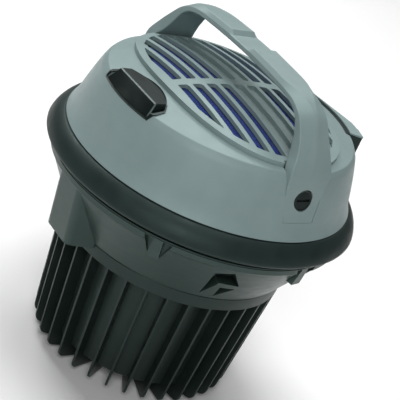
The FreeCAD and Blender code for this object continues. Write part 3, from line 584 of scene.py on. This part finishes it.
def slot_outline(column, side):
    """One slot from the cross bar out to the panel's rim band, which its end follows."""
    across = SLOT_PITCH * (column - (SLOT_COLUMNS - 1) / 2)
    low = across - SLOT_WIDTH / 2
    high = across + SLOT_WIDTH / 2

    def reach(y):
        half = PANEL_HALF_Y - RIM_BAND * 0.8
        share = max(0.0, 1 - abs(y / half) ** PANEL_POWER)
        return (PANEL_HALF_X - RIM_BAND) * share ** (1 / PANEL_POWER)

    between = [low + (high - low) * k / 5 for k in range(1, 5)]
    corners = [(BAR_HALF, low, 1.2 * MM), (reach(low), low, 1.5 * MM)]
    corners += [(reach(y), y) for y in between]
    corners += [(reach(high), high, 1.5 * MM), (BAR_HALF, high, 3.5 * MM)]
    return [Vector((side * point.x, point.y)) for point in rounded_loop(corners, 5)]


def bend_to_dome(item, apex):
    """Lets a flat piece, whose top is at height 0, follow the dome."""
    for vert in item.data.vertices:
        radius = math.hypot(vert.co.x, vert.co.y)
        vert.co.z += sphere_height(radius, apex)


def make_grille():
    """The oval panel: made flat, slotted and hollowed, then bent to the dome. The middle slots are blind."""
    panel = prism("grille", superellipse(PANEL_HALF_X, PANEL_HALF_Y, PANEL_POWER, 200), -10 * MM, 0)
    inside = superellipse(PANEL_HALF_X - RIM_WALL, PANEL_HALF_Y - RIM_WALL, PANEL_POWER, 96)
    tools = [prism("hollow", inside, -20 * MM, -PANEL_DEPTH)]
    for column in range(SLOT_COLUMNS):
        blind = column in (SLOT_COLUMNS // 2 - 1, SLOT_COLUMNS // 2)
        floor = -BLIND_DEPTH if blind else -30 * MM
        tools += [prism("slot", slot_outline(column, side), floor, 5 * MM) for side in (1, -1)]
    cut(panel, *tools)
    soften(panel, 0.7 * MM, 2, 35)
    panel.modifiers.clear()
    slice_grid(panel, 6 * MM)
    bend_to_dome(panel, PANEL_APEX)
    cut(panel, dome_blank("seat", -0.3 * MM), *[leg_window(side, 0.6 * MM, 118.5 * MM) for side in (1, -1)])
    clean(panel)
    shade(panel, 32)
    finish_piece(panel, "head", grille_grey, "grille_panel")


random.seed(5)
DIMPLE = 0.12 * MM
ROLLED_EDGE = 1.8 * MM
ROLL_STARTS = 0.93


def make_foam_pad():
    """The blue pad: a fine grid crowned to the dome, lightly dimpled, with soft edges."""
    half_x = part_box("exhaust_foam")[1].x
    half_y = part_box("exhaust_foam")[1].y
    low = foot_of("exhaust_foam")
    high = top_of("exhaust_foam")
    bm = bmesh.new()
    columns = 72
    rows = 48
    grid = {}
    for layer in (0, 1):
        for i in range(columns + 1):
            for j in range(rows + 1):
                u = i / columns * 2 - 1
                v = j / rows * 2 - 1
                x = half_x * u * math.sqrt(1 - v * v / 2)
                y = half_y * v * math.sqrt(1 - u * u / 2)
                rim = max(abs(u), abs(v))
                roll = ROLLED_EDGE * max(0.0, (rim - ROLL_STARTS) / (1 - ROLL_STARTS)) ** 2
                if layer:
                    z = sphere_height(math.hypot(x, y), high) - roll + random.uniform(-DIMPLE, DIMPLE)
                else:
                    z = low + roll * 0.5
                grid[layer, i, j] = bm.verts.new((x, y, z))
    for i in range(columns):
        for j in range(rows):
            bm.faces.new((grid[1, i, j], grid[1, i + 1, j], grid[1, i + 1, j + 1], grid[1, i, j + 1]))
            bm.faces.new((grid[0, i, j], grid[0, i, j + 1], grid[0, i + 1, j + 1], grid[0, i + 1, j]))
    border = [(i, 0) for i in range(columns)] + [(columns, j) for j in range(rows)]
    border += [(i, rows) for i in range(columns, 0, -1)] + [(0, j) for j in range(rows, 0, -1)]
    for here, there in zip(border, border[1:] + border[:1]):
        bm.faces.new((grid[0, *here], grid[0, *there], grid[1, *there], grid[1, *here]))
    bmesh.ops.recalc_face_normals(bm, faces=bm.faces)
    pad = new_object("foam_pad", bm)
    shade(pad, 60)
    finish_piece(pad, "head", foam_blue, "exhaust_foam")


# ---------------------------------------------------------------- handle

def smooth_between(values, t):
    """Catmull-Rom through equally spaced values."""
    last = len(values) - 1
    index = min(int(t), last - 1)
    f = t - index
    p0 = values[max(index - 1, 0)]
    p1 = values[index]
    p2 = values[index + 1]
    p3 = values[min(index + 2, last)]
    return 0.5 * (2 * p1 + (p2 - p0) * f + (2 * p0 - 5 * p1 + 4 * p2 - p3) * f * f
                  + (3 * p1 - p0 - 3 * p2 + p3) * f * f * f)


# From foot to middle: outer edge x and z, inner edge x and z, half width, crown, all in mm.
HANDLE_STATIONS = [
    (143.8, 260.0, 134.4, 260.0, 18.6, 1.0),
    (140.3, 271.0, 131.8, 271.0, 20.8, 1.2),
    (137.5, 281.4, 129.4, 281.4, 22.6, 1.4),
    (136.0, 295.0, 125.6, 296.0, 24.4, 1.6),
    (134.0, 308.4, 121.6, 308.4, 24.9, 1.9),
    (126.9, 323.6, 115.4, 318.8, 20.9, 2.4),
    (117.8, 337.2, 109.4, 331.2, 18.4, 3.3),
    (107.2, 349.4, 103.3, 342.6, 17.8, 4.2),
    (97.3, 355.5, 95.8, 350.2, 17.6, 4.4),
    (86.6, 359.3, 85.1, 354.7, 17.5, 4.3),
    (71.4, 361.5, 71.0, 357.0, 17.5, 4.3),
    (48.0, 363.1, 48.0, 358.3, 17.5, 4.3),
    (24.0, 364.2, 24.0, 359.3, 17.5, 4.3),
    (0.0, 364.6, 0.0, 359.7, 17.5, 4.3)]
STATION_STEPS = 8
# The shallow saddle in the grip: how far it goes towards the +X foot and towards the -X foot.
SADDLE_REACH = {1: 7 * MM, -1: 22 * MM}
SADDLE_RAMP = 4.5 * MM
SADDLE_CROWN = 0.06
RIDGE_HALF = 1.5 * MM
GRIP_TOP_HALF = 14 * MM
GRIP_STARTS = 60 * MM
LEG_ENDS = 110 * MM


def handle_section(station, side):
    """A closed section, flat inside. Outside, the ridge of the legs widens to the flat top of the grip."""
    outer_x, outer_z, inner_x, inner_z, half, crown = [value * MM for value in station]
    inner = Vector((inner_x, inner_z))
    across = Vector((outer_x, outer_z)) - inner
    thick = across.length
    across.normalize()
    ramp = min(1.0, max(0.0, (outer_x - SADDLE_REACH[side]) / SADDLE_RAMP))
    crown *= SADDLE_CROWN + (1 - SADDLE_CROWN) * ramp
    flat = min(1.0, max(0.0, (LEG_ENDS - outer_x) / (LEG_ENDS - GRIP_STARTS)))
    top = RIDGE_HALF + (GRIP_TOP_HALF - RIDGE_HALF) * flat * flat * (3 - 2 * flat)
    soft = 1.3 * MM
    corners = [(-half, 0, soft), (half, 0, soft), (half, thick, soft), (top, thick + crown, 1.4 * MM),
               (-top, thick + crown, 1.4 * MM), (-half, thick, soft)]
    outline = rounded_loop(corners, 5)
    return [Vector((side * (inner.x + across.x * d), y, inner.y + across.y * d)) for y, d in outline]


def leg_row(t):
    """A station at any place between the listed ones."""
    return [smooth_between([row[k] for row in HANDLE_STATIONS], t) for k in range(6)]


def grip_row(x):
    """A station in the middle of the grip, where the bow is a shallow parabola."""
    start = HANDLE_STATIONS[-2]
    middle = HANDLE_STATIONS[-1]
    share = (x / start[0]) ** 2
    outer_z = middle[1] + (start[1] - middle[1]) * share
    inner_z = middle[3] + (start[3] - middle[3]) * share
    return [x, outer_z, x, inner_z, *middle[4:]]


def make_handle():
    """The bow, in two halves from foot to middle, with a counterbore for a coin screw in each foot."""
    listed = len(HANDLE_STATIONS) - 3
    halves = []
    for side in (1, -1):
        rows = [leg_row(step / STATION_STEPS) for step in range(listed * STATION_STEPS + 1)]
        edge = SADDLE_REACH[side] / MM
        ramp = SADDLE_RAMP / MM
        rows += [grip_row(edge + ramp * share) for share in (1.5, 1, 0.5)]
        rows += [grip_row(edge * share) for share in (1, 0.6, 0.3, 0)]
        halves.append([handle_section(row, side) for row in rows])
    bow = loft("handle", halves[0] + halves[1][-2::-1])
    bore = COIN_RADIUS + 0.35 * MM
    seat = -3.4 * MM
    mouth = 12 * MM
    for side in (1, -1):
        tool = lathe("counterbore", [(0, seat), (bore, seat), (bore, mouth), (0, mouth)], 64)
        cut(bow, on_coin_axis(tool, side))
    clean(bow)
    shade(bow, 26)
    finish_piece(bow, "head", cover_grey, "carry_handle")


def on_coin_axis(item, side):
    """Moves a turned piece from the origin onto the axis of one coin screw."""
    out = Vector((side * math.cos(COIN_TILT), 0, math.sin(COIN_TILT)))
    spin = Vector((0, 0, 1)).rotation_difference(out).to_matrix().to_4x4()
    foot = Vector((side * COIN_REACH, 0, COIN_HEIGHT))
    item.data.transform(Matrix.Translation(foot) @ spin)
    return item


def make_coin_screws():
    """A dished round head with a coin slot across it, on a plain shank."""
    face = -0.35 * MM
    foot = -19.5 * MM
    half = 1.3 * MM
    reach = 8 * MM
    for side, label in ((1, "right"), (-1, "left")):
        head = lathe("coin_screw_" + label + "_head", rounded([
            (0, -3 * MM), (COIN_RADIUS - 0.4 * MM, -3 * MM), (COIN_RADIUS, -2.4 * MM),
            (COIN_RADIUS, 0, 0.8 * MM), (COIN_RADIUS - 1.2 * MM, 0.1 * MM, 0.6 * MM),
            (COIN_RADIUS - 1.9 * MM, face, 0.6 * MM), (0, face)]), 96)
        shank = lathe("shank", [(0, foot), (3.4 * MM, foot), (4 * MM, foot + 0.8 * MM), (4 * MM, -2.5 * MM),
                                (0, -2.5 * MM)], 48)
        across = [(-half, -reach), (half, -reach), (half, reach), (-half, reach)]
        slot = prism("slot", across, -2.1 * MM, 5 * MM)
        fuse(head, shank)
        cut(head, slot)
        soften(on_coin_axis(head, side), 0.25 * MM, 2, 35)
        finish_piece(head, "screw_" + label, button_black, "coin_screw_" + label)


# ---------------------------------------------------------------- push button

def make_button():
    """Dark wedge: bowed front that leans back to a straight ridge, lens-shaped top and short sides."""
    sole = button_base(-0.2 * MM)
    ridge = button_outline(0, 33.2 * MM, 119.6 * MM, 96.4 * MM, 107.5 * MM, False)
    foot = foot_of("push_button")
    low = foot + 13 * MM
    shut_line = 299.2 * MM

    def level(outline, height):
        return [Vector((point.x, point.y, height)) for point in outline]

    cap = loft("push_button_cap", [level(sole, low), level(sole, shut_line), level(ridge, BUTTON_TOP)])
    soften(cap, 1.0 * MM, 1, 30)
    cap.modifiers.clear()
    root = low + 3 * MM
    stem = lathe("stem", [(0, foot), (4.5 * MM, foot), (5 * MM, foot + 0.5 * MM), (5 * MM, root),
                          (0, root)], 48)
    stem.data.transform(Matrix.Translation((0, -113 * MM, 0)))
    fuse(cap, stem)
    soften(cap, 0.3 * MM, 2, 14)
    finish_piece(cap, "button", button_black, "push_button")


def make_bezel():
    """Thin black skirt that lies on the dome round the button, with a toe at each side."""
    low = TOOL_LOW + 5 * MM
    high = TOOL_HIGH - 10 * MM
    skirt = prism("bezel", button_base(0.7 * MM), low, high)
    for side in (1, -1):
        toe = rounded_loop([
            (side * 30 * MM, -128 * MM), (side * 39.6 * MM, -128.3 * MM, 1.5 * MM),
            (side * 41.4 * MM, -121 * MM, 2.0 * MM), (side * 39.6 * MM, -110.5 * MM, 2 * MM),
            (side * 30 * MM, -103 * MM)], 4)
        fuse(skirt, prism("toe", toe, low, high))
    keep_common(skirt, dome_blank("skin", 1.0 * MM))
    well = prism("well", button_base(0.1 * MM, 0.1 * MM), TOOL_LOW, TOOL_HIGH)
    cut(skirt, dome_blank("seat", 0.1 * MM), well)
    soften(skirt, 0.3 * MM, 2, 35)
    finish_piece(skirt, "head", button_black, "button_bezel")


# ---------------------------------------------------------------- cord inlet

VISOR_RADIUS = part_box("inlet_visor")[1].y
VISOR_SWEEP = math.degrees(math.asin(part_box("inlet_visor")[1].x / VISOR_RADIUS))
VISOR_BACK = 128.6 * MM
VISOR_EDGE = Vector((-0.1668, 0.986))
VISOR_EDGE_REACH = 129.7 * MM
BLOCK_BACK = 112 * MM
SLOPE_RUN = 26 * MM
SLOPE_DROP = 16.4 * MM
SLOPE_SPAN = (-90 * MM, 57.5 * MM)
CORD_RADIUS = 4.5 * MM


def ring_spot(radius, degrees):
    """A point on a ring, by its angle from +Y towards +X."""
    return (radius * math.sin(math.radians(degrees)), radius * math.cos(math.radians(degrees)))


def falling_edge(roof):
    """The space cut from the block, which starts below the visor's long edge and falls away from it."""
    along = Vector((VISOR_EDGE.y, -VISOR_EDGE.x))
    above = roof + 20 * MM
    profile = [(0, roof), (SLOPE_RUN, roof - SLOPE_DROP), (SLOPE_RUN, above), (0, above)]
    sections = []
    for shift in SLOPE_SPAN:
        spots = [(VISOR_EDGE * (VISOR_EDGE_REACH + out) + along * shift, height) for out, height in profile]
        sections.append([Vector((spot.x, spot.y, height)) for spot, height in spots])
    return loft("slope", sections)


def make_cord_inlet():
    """A pale plate, lopsided from above, on a black block whose top falls away behind its long edge."""
    top = top_of("inlet_visor")
    foot = foot_of("inlet_visor")
    back = [ring_spot(VISOR_BACK, degrees) for degrees in range(-15, 26)]
    rim = [(62.4 * MM, 128.9 * MM, 1.2 * MM), (46 * MM, 134.3 * MM), (44.4 * MM, 133.3 * MM, 0.6 * MM),
           (34 * MM, 136.0 * MM, 1.2 * MM), ring_spot(130.3 * MM, -15)]
    visor = prism("visor", rounded_loop(back + rim, 3), foot, top)
    finish_piece(soften(visor, 0.4 * MM, 2, 35), "head", cover_grey, "inlet_visor")

    outside = [ring_spot(VISOR_RADIUS - 0.3 * MM, VISOR_SWEEP * (1 - k / 12)) for k in range(25)]
    inside = [ring_spot(BLOCK_BACK, VISOR_SWEEP * (k / 12 - 1)) for k in range(25)]
    block = prism("inlet_block", outside + inside, foot_of("cord_inlet"), foot - 0.05 * MM)
    seat = 8 * MM
    bore = across_y(lathe("bore", [(0, -30 * MM), (seat, -30 * MM), (seat, 30 * MM), (0, 30 * MM)], 64))
    cut(block, dome_blank("seat", 0.1 * MM), falling_edge(foot), bore)
    finish_piece(soften(block, 0.4 * MM, 2, 35), "head", button_black, "cord_inlet")

    gland = across_y(lathe("gland", rounded([
        (CORD_RADIUS, 0), (7.8 * MM, 0), (7.8 * MM, 6.6 * MM, 0.6 * MM), (7.2 * MM, 7 * MM, 0.6 * MM),
        (5.4 * MM, 7 * MM, 0.8 * MM), (CORD_RADIUS, 6.2 * MM, 0.6 * MM), (CORD_RADIUS, 0)])[:-1], 64))
    gland.data.transform(Matrix.Translation((0, -12 * MM, 0)))
    finish_piece(shade(gland, 40), "head", seal_black, "cord_gland")


def across_y(item):
    """Turns a piece about Z into one about the cord's way through the inlet."""
    centre = (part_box("cord_gland")[0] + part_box("cord_gland")[1]) / 2
    spin = Matrix.Rotation(math.radians(-90), 4, "X")
    item.data.transform(Matrix.Translation((0, VISOR_RADIUS, centre.z)) @ spin)
    return item


# ---------------------------------------------------------------- seal and collar

def make_seal():
    """Soft bulge ring; the gaps over and under it are narrow shadow lines."""
    inner = 150.3 * MM
    top = SEAL_TOP - 0.9 * MM
    foot = SEAL_FOOT + 0.7 * MM
    widest = foot + 4.2 * MM
    bulge = arc_profile((SEAL_RADIUS, widest), (152.6 * MM, top), 26 * MM, 20)
    lip = arc_profile((161.0 * MM, foot), (SEAL_RADIUS, widest), 4.4 * MM, 8)
    seal = lathe("rim_seal_bulge", [(inner, foot)] + lip + bulge[1:] + [(inner, top)], 256)
    finish_piece(shade(seal, 45), "head", seal_black, "rim_seal")


FLANGE_TOP = 219 * MM
FLANGE_FOOT = 206 * MM
FLANGE_RADIUS = 156 * MM
FLANGE_CHAMFER = 2 * MM
CONE_FOOT = 151.5 * MM
CONE_RADIUS = 121 * MM
DECK = 158 * MM


def collar_outline():
    """Spigot, cone, flange with the shadow groove under the seal, neck, and the deck inside."""
    neck = 149.8 * MM
    spigot = 116.9 * MM
    lip = FLANGE_RADIUS - 0.7 * MM
    groove = neck + 1.2 * MM
    neck_top = RIM_HEIGHT - 0.4 * MM
    deck_hole = 32 * MM
    return rounded([
        (spigot - WALL, CONE_FOOT - 10 * MM), (spigot, CONE_FOOT - 10 * MM), (spigot, CONE_FOOT),
        (CONE_RADIUS, CONE_FOOT, 1 * MM), (FLANGE_RADIUS - FLANGE_CHAMFER, FLANGE_FOOT, 2 * MM),
        (FLANGE_RADIUS, FLANGE_FOOT + 1.6 * MM, 1 * MM), (FLANGE_RADIUS, FLANGE_TOP - 6.0 * MM),
        (lip, FLANGE_TOP - 5.6 * MM), (lip, FLANGE_TOP - 4.4 * MM, 0.8 * MM),
        (groove, FLANGE_TOP - 4.4 * MM), (groove, FLANGE_TOP - 0.6 * MM), (neck, FLANGE_TOP - 0.6 * MM),
        (neck, neck_top), (neck - WALL, neck_top), (neck - WALL, FLANGE_FOOT - 6.5 * MM),
        (CONE_RADIUS + 2.3 * MM, DECK + WALL, 4 * MM), (deck_hole, DECK + WALL, 1.4 * MM),
        (deck_hole, DECK, 1.4 * MM), (spigot - WALL, DECK)], 4)


def radial_piece(name, side_outline, thick):
    """An outline of (r, z) given a thickness across the radius."""
    return loft(name, [[Vector((r, y, z)) for r, z in side_outline] for y in (-thick / 2, thick / 2)])


def cone_radius(height):
    share = (height - CONE_FOOT) / (FLANGE_FOOT - CONE_FOOT)
    return CONE_RADIUS + (FLANGE_RADIUS - FLANGE_CHAMFER - CONE_RADIUS) * share


def trapezium(first, second):
    """Four corners from two edges across the radius, each given as (radius, half width, height)."""
    ring = []
    for (radius, half, height), ends in ((first, (-1, 1)), (second, (1, -1))):
        ring += [Vector((radius, end * half, height)) for end in ends]
    return ring


def tab_pocket(angle):
    """The hollow that a lock tab stands in: wide and deep under the flange's lip, shallow below."""
    low = 190.5 * MM
    high = 212.4 * MM
    mouth = 170 * MM
    outside = trapezium((mouth, 14 * MM, high), (mouth, 6.6 * MM, low))
    inside = trapezium((148.6 * MM, 14 * MM, high), (143.2 * MM, 6.6 * MM, low))
    return turn_about_z(loft("tab_pocket", [outside, inside]), angle)


def lock_tab(angle):
    """The tongue that the tub's catch grips, its face in line with the flange."""
    low = 190.8 * MM
    high = FLANGE_TOP - 6.2 * MM
    outside = trapezium((151.8 * MM, 6.2 * MM, low), (155.0 * MM, 4.6 * MM, high))
    inside = trapezium((142.5 * MM, 6.2 * MM, low), (148.5 * MM, 4.6 * MM, high))
    return turn_about_z(loft("tab", [outside, inside]), angle)


def on_cone(outline, depth, inset):
    """An outline of (azimuth in degrees, height in mm) as a ring of points on the cone, sunk by a depth."""
    middle = sum((Vector(point) for point in outline), Vector((0, 0))) / len(outline)
    points = []
    for spot in outline:
        azimuth, height = Vector(spot).lerp(middle, inset)
        angle = math.radians(azimuth)
        radius = cone_radius(height * MM) - depth
        points.append(Vector((radius * math.cos(angle), radius * math.sin(angle), height * MM)))
    return points


def thickening(first, last, low, depth):
    """More wall behind the cone, from one azimuth in degrees to another, for a pocket to be cut into."""
    high = FLANGE_FOOT / MM - 1
    outline = [(first, low), (last, low), (last, high), (first, high)]
    return loft("thickening", [on_cone(outline, deep, 0) for deep in (depth, WALL / 2)])


def boss():
    """The box under the button: a front that leans out to the flange, softly rounded into its flanks."""
    foot = 146 * MM
    top = FLANGE_FOOT + 2 * MM

    def outline(reach, height):
        half = [(20.5 * MM, -reach, 8 * MM), (27 * MM, -118 * MM, 2 * MM), (26 * MM, -112 * MM)]
        corners = [(-x, *rest) for x, *rest in reversed(half)] + half
        return [Vector((point.x, point.y, height)) for point in rounded_loop(corners, 6)]

    block = loft("boss", [outline(146.5 * MM, foot), outline(154.4 * MM, top)])
    under = FLANGE_RADIUS - 3.6 * MM
    inner = CONE_RADIUS + 0.2 * MM
    below = foot - 2 * MM
    above = 300 * MM
    cone = lathe("cone", [(0, below), (inner, below), (inner, CONE_FOOT), (under, FLANGE_FOOT),
                          (under, above), (0, above)], 128)
    return cut(block, cone)


TAB_ANGLES = [math.radians(angle) for angle in (-48, 12, 72, 132, 192)]
TAB_BACKING = 6.5
# Outlines on the cone as (azimuth in degrees, height in mm).
HOOK_POCKET = [(-24.5, 196.0), (-17.9, 202.0), (-10.8, 180.0), (-20.1, 181.6), (-20.1, 177.8),
               (-23.3, 158.0)]
SMALL_POCKET = [(-17.5, 173.4), (-11.0, 173.8), (-16.4, 156.0)]


def make_collar():
    """Cone, deck and flange in one, thickened where pockets go in, with the lock tabs and the boss."""
    shell = lathe("collar", collar_outline(), 240)
    backings = [thickening(-27, -8, 154.5, 15 * MM)]
    for angle in TAB_ANGLES:
        middle = math.degrees(angle)
        backings.append(thickening(middle - TAB_BACKING, middle + TAB_BACKING, 188, 11 * MM))
    fuse(shell, *backings)
    cut(shell, *[tab_pocket(angle) for angle in TAB_ANGLES])
    fuse(shell, boss(), *[lock_tab(angle) for angle in TAB_ANGLES])
    pockets = [loft("pocket", [on_cone(outline, -3 * MM, -0.02), on_cone(outline, 13 * MM, 0.02)])
               for outline in (HOOK_POCKET, SMALL_POCKET)]
    cut(shell, *pockets)
    soften(shell, 0.6 * MM, 2, 30)
    finish_piece(shell, "head", collar_dark, "base_collar")


# ---------------------------------------------------------------- basket

def make_basket():
    """A round drum with a band at its mouth, an open hub below and thin ribs standing out all round."""
    band_foot = 137.5 * MM
    top = top_of("intake_basket")
    core = 106 * MM
    core_foot = 96 * MM
    floor = 20 * MM
    hub = 44 * MM
    drum = lathe("basket", rounded([
        (hub, 0), (hub + 3 * MM, 0), (hub + 3 * MM, floor, 2 * MM), (core_foot, floor, 4 * MM),
        (core, band_foot), (BAND_RADIUS, band_foot, 1 * MM), (BAND_RADIUS, top, 1 * MM),
        (BAND_RADIUS - WALL, top, 0.8 * MM), (BAND_RADIUS - WALL, band_foot + WALL),
        (core - WALL, band_foot + WALL), (core_foot - WALL, floor + WALL, 2 * MM),
        (hub, floor + WALL)], 4), 204)
    root = WALL / 2
    rib_top = band_foot + 1 * MM
    rib_line = rounded([
        (hub + 1 * MM, 0), (61 * MM, 0, 6 * MM), (109.0 * MM, 8.6 * MM, 10 * MM), (120.3 * MM, rib_top),
        (core - root, rib_top), (core_foot - root, floor + root), (hub + 1 * MM, floor + root)], 8)
    ribs = []
    for index in range(RIB_COUNT):
        rib = radial_piece("rib", rib_line, RIB_THICK)
        soften(rib, 0.7 * MM, 2, 60)
        rib.modifiers.clear()
        ribs.append(turn_about_z(rib, RIB_START + math.tau * index / RIB_COUNT))
    fuse(drum, *ribs)
    shade(drum, 38)
    finish_piece(drum, "basket", basket_dark, "intake_basket")


def make_foam_rings():
    for node, name, inner, body in (("intake_filter", "intake_foam", 56 * MM, "basket"),
                                    ("sound_sleeve", "sound_foam", 73 * MM, "head")):
        low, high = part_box(node)
        outline = rounded_loop([(inner, low.z, 3 * MM), (high.x, low.z, 3 * MM), (high.x, high.z, 3 * MM),
                                (inner, high.z, 3 * MM)], 5)
        ring = shade(lathe(name, outline, 160), 60)
        finish_piece(ring, body, foam_grey, node)


# ---------------------------------------------------------------- motor pieces kept from the frame

def dress_inside():
    looks = {
        inner_dark: ("foam_tray", "handle_anchors", "switch_body", "cooling_fan", "motor_cap",
                     "motor_carrier", "inlet_screen"),
        plated: ("cover_screws", "fan_can", "motor_frame", "commutator_end_bracket"),
        cast_alloy: ("suction_impeller", "fan_diffuser", "fan_end_bracket"),
        ground_steel: ("lower_bearing", "upper_bearing", "motor_shaft", "button_spring"),
        laminated: ("stator_core", "armature_core"),
        copper_wire: ("field_coils", "armature_windings", "commutator"),
        carbon_block: ("carbon_brushes",),
        seal_black: ("lower_motor_gasket", "upper_motor_seal")}
    for material, names in looks.items():
        for name in names:
            wear(nodes[name], material)
    wear(nodes["brush_holders"], metallic("brass_holder", (0.7, 0.52, 0.25), 0.3))


# ---------------------------------------------------------------- room, light and camera

def make_room():
    bm = bmesh.new()
    bmesh.ops.create_grid(bm, x_segments=4, y_segments=4, size=12)
    floor = new_object("floor", bm)
    paper, tree, shader, place = start_material("floor_paper", (0.96, 0.96, 0.96), 0.9)
    whites = blend_colours(tree, noise(tree, place, 3.0), (0.955, 0.955, 0.955), (0.965, 0.965, 0.965))
    tree.links.new(whites, shader.inputs["Base Color"])
    floor.data.materials.append(paper)
    world = bpy.data.worlds.new("studio")
    world.use_nodes = True
    world.node_tree.nodes["Background"].inputs["Color"].default_value = (1.0, 1.0, 1.0, 1)
    world.node_tree.nodes["Background"].inputs["Strength"].default_value = 0.1
    bpy.context.scene.world = world
    bpy.context.scene.view_settings.view_transform = "Standard"


LIGHT_DISTANCE = 3.0
LIGHT_SIZE = 1.4


def add_light(name, azimuth, elevation, watts):
    """A soft round light that faces the middle of the object from an azimuth and elevation in degrees."""
    aim = Vector((0, 0, 0.22))
    turn = math.radians(azimuth)
    rise = math.radians(elevation)
    way = Vector((math.cos(rise) * math.cos(turn), math.cos(rise) * math.sin(turn), math.sin(rise)))
    data = bpy.data.lights.new(name, "AREA")
    data.shape = "DISK"
    data.size = LIGHT_SIZE
    data.energy = watts
    lamp = bpy.data.objects.new(name, data)
    lamp.location = aim + way * LIGHT_DISTANCE
    lamp.rotation_euler = (-way).to_track_quat("-Z", "Y").to_euler()
    bpy.context.scene.collection.objects.link(lamp)


def make_camera():
    azimuth = math.radians(-44.5)
    elevation = math.radians(25.9128)
    roll = math.radians(24.0918)
    back = Vector((math.cos(elevation) * math.cos(azimuth), math.cos(elevation) * math.sin(azimuth),
                   math.sin(elevation)))
    level_right = (-back).cross(Vector((0, 0, 1))).normalized()
    level_up = level_right.cross(-back)
    right = level_right * math.cos(roll) + level_up * math.sin(roll)
    up = level_up * math.cos(roll) - level_right * math.sin(roll)
    data = bpy.data.cameras.new("camera")
    data.lens = 116.8
    data.sensor_width = 36
    data.clip_start = 0.05
    data.clip_end = 60
    camera = bpy.data.objects.new("camera", data)
    place = Matrix.Translation((0.8571, -0.8284, 0.7699))
    camera.matrix_world = place @ Matrix((right, up, back)).transposed().to_4x4()
    bpy.context.scene.collection.objects.link(camera)
    bpy.context.scene.camera = camera


make_cover()
make_grille()
make_foam_pad()
make_handle()
make_coin_screws()
make_button()
make_bezel()
make_cord_inlet()
make_seal()
make_collar()
make_basket()
make_foam_rings()
dress_inside()
make_room()
add_light("key", -45, 35, 34)
add_light("left", 180, 45, 42)
add_light("back", 135, 50, 24)
add_light("top", 0, 89, 36)
make_camera()
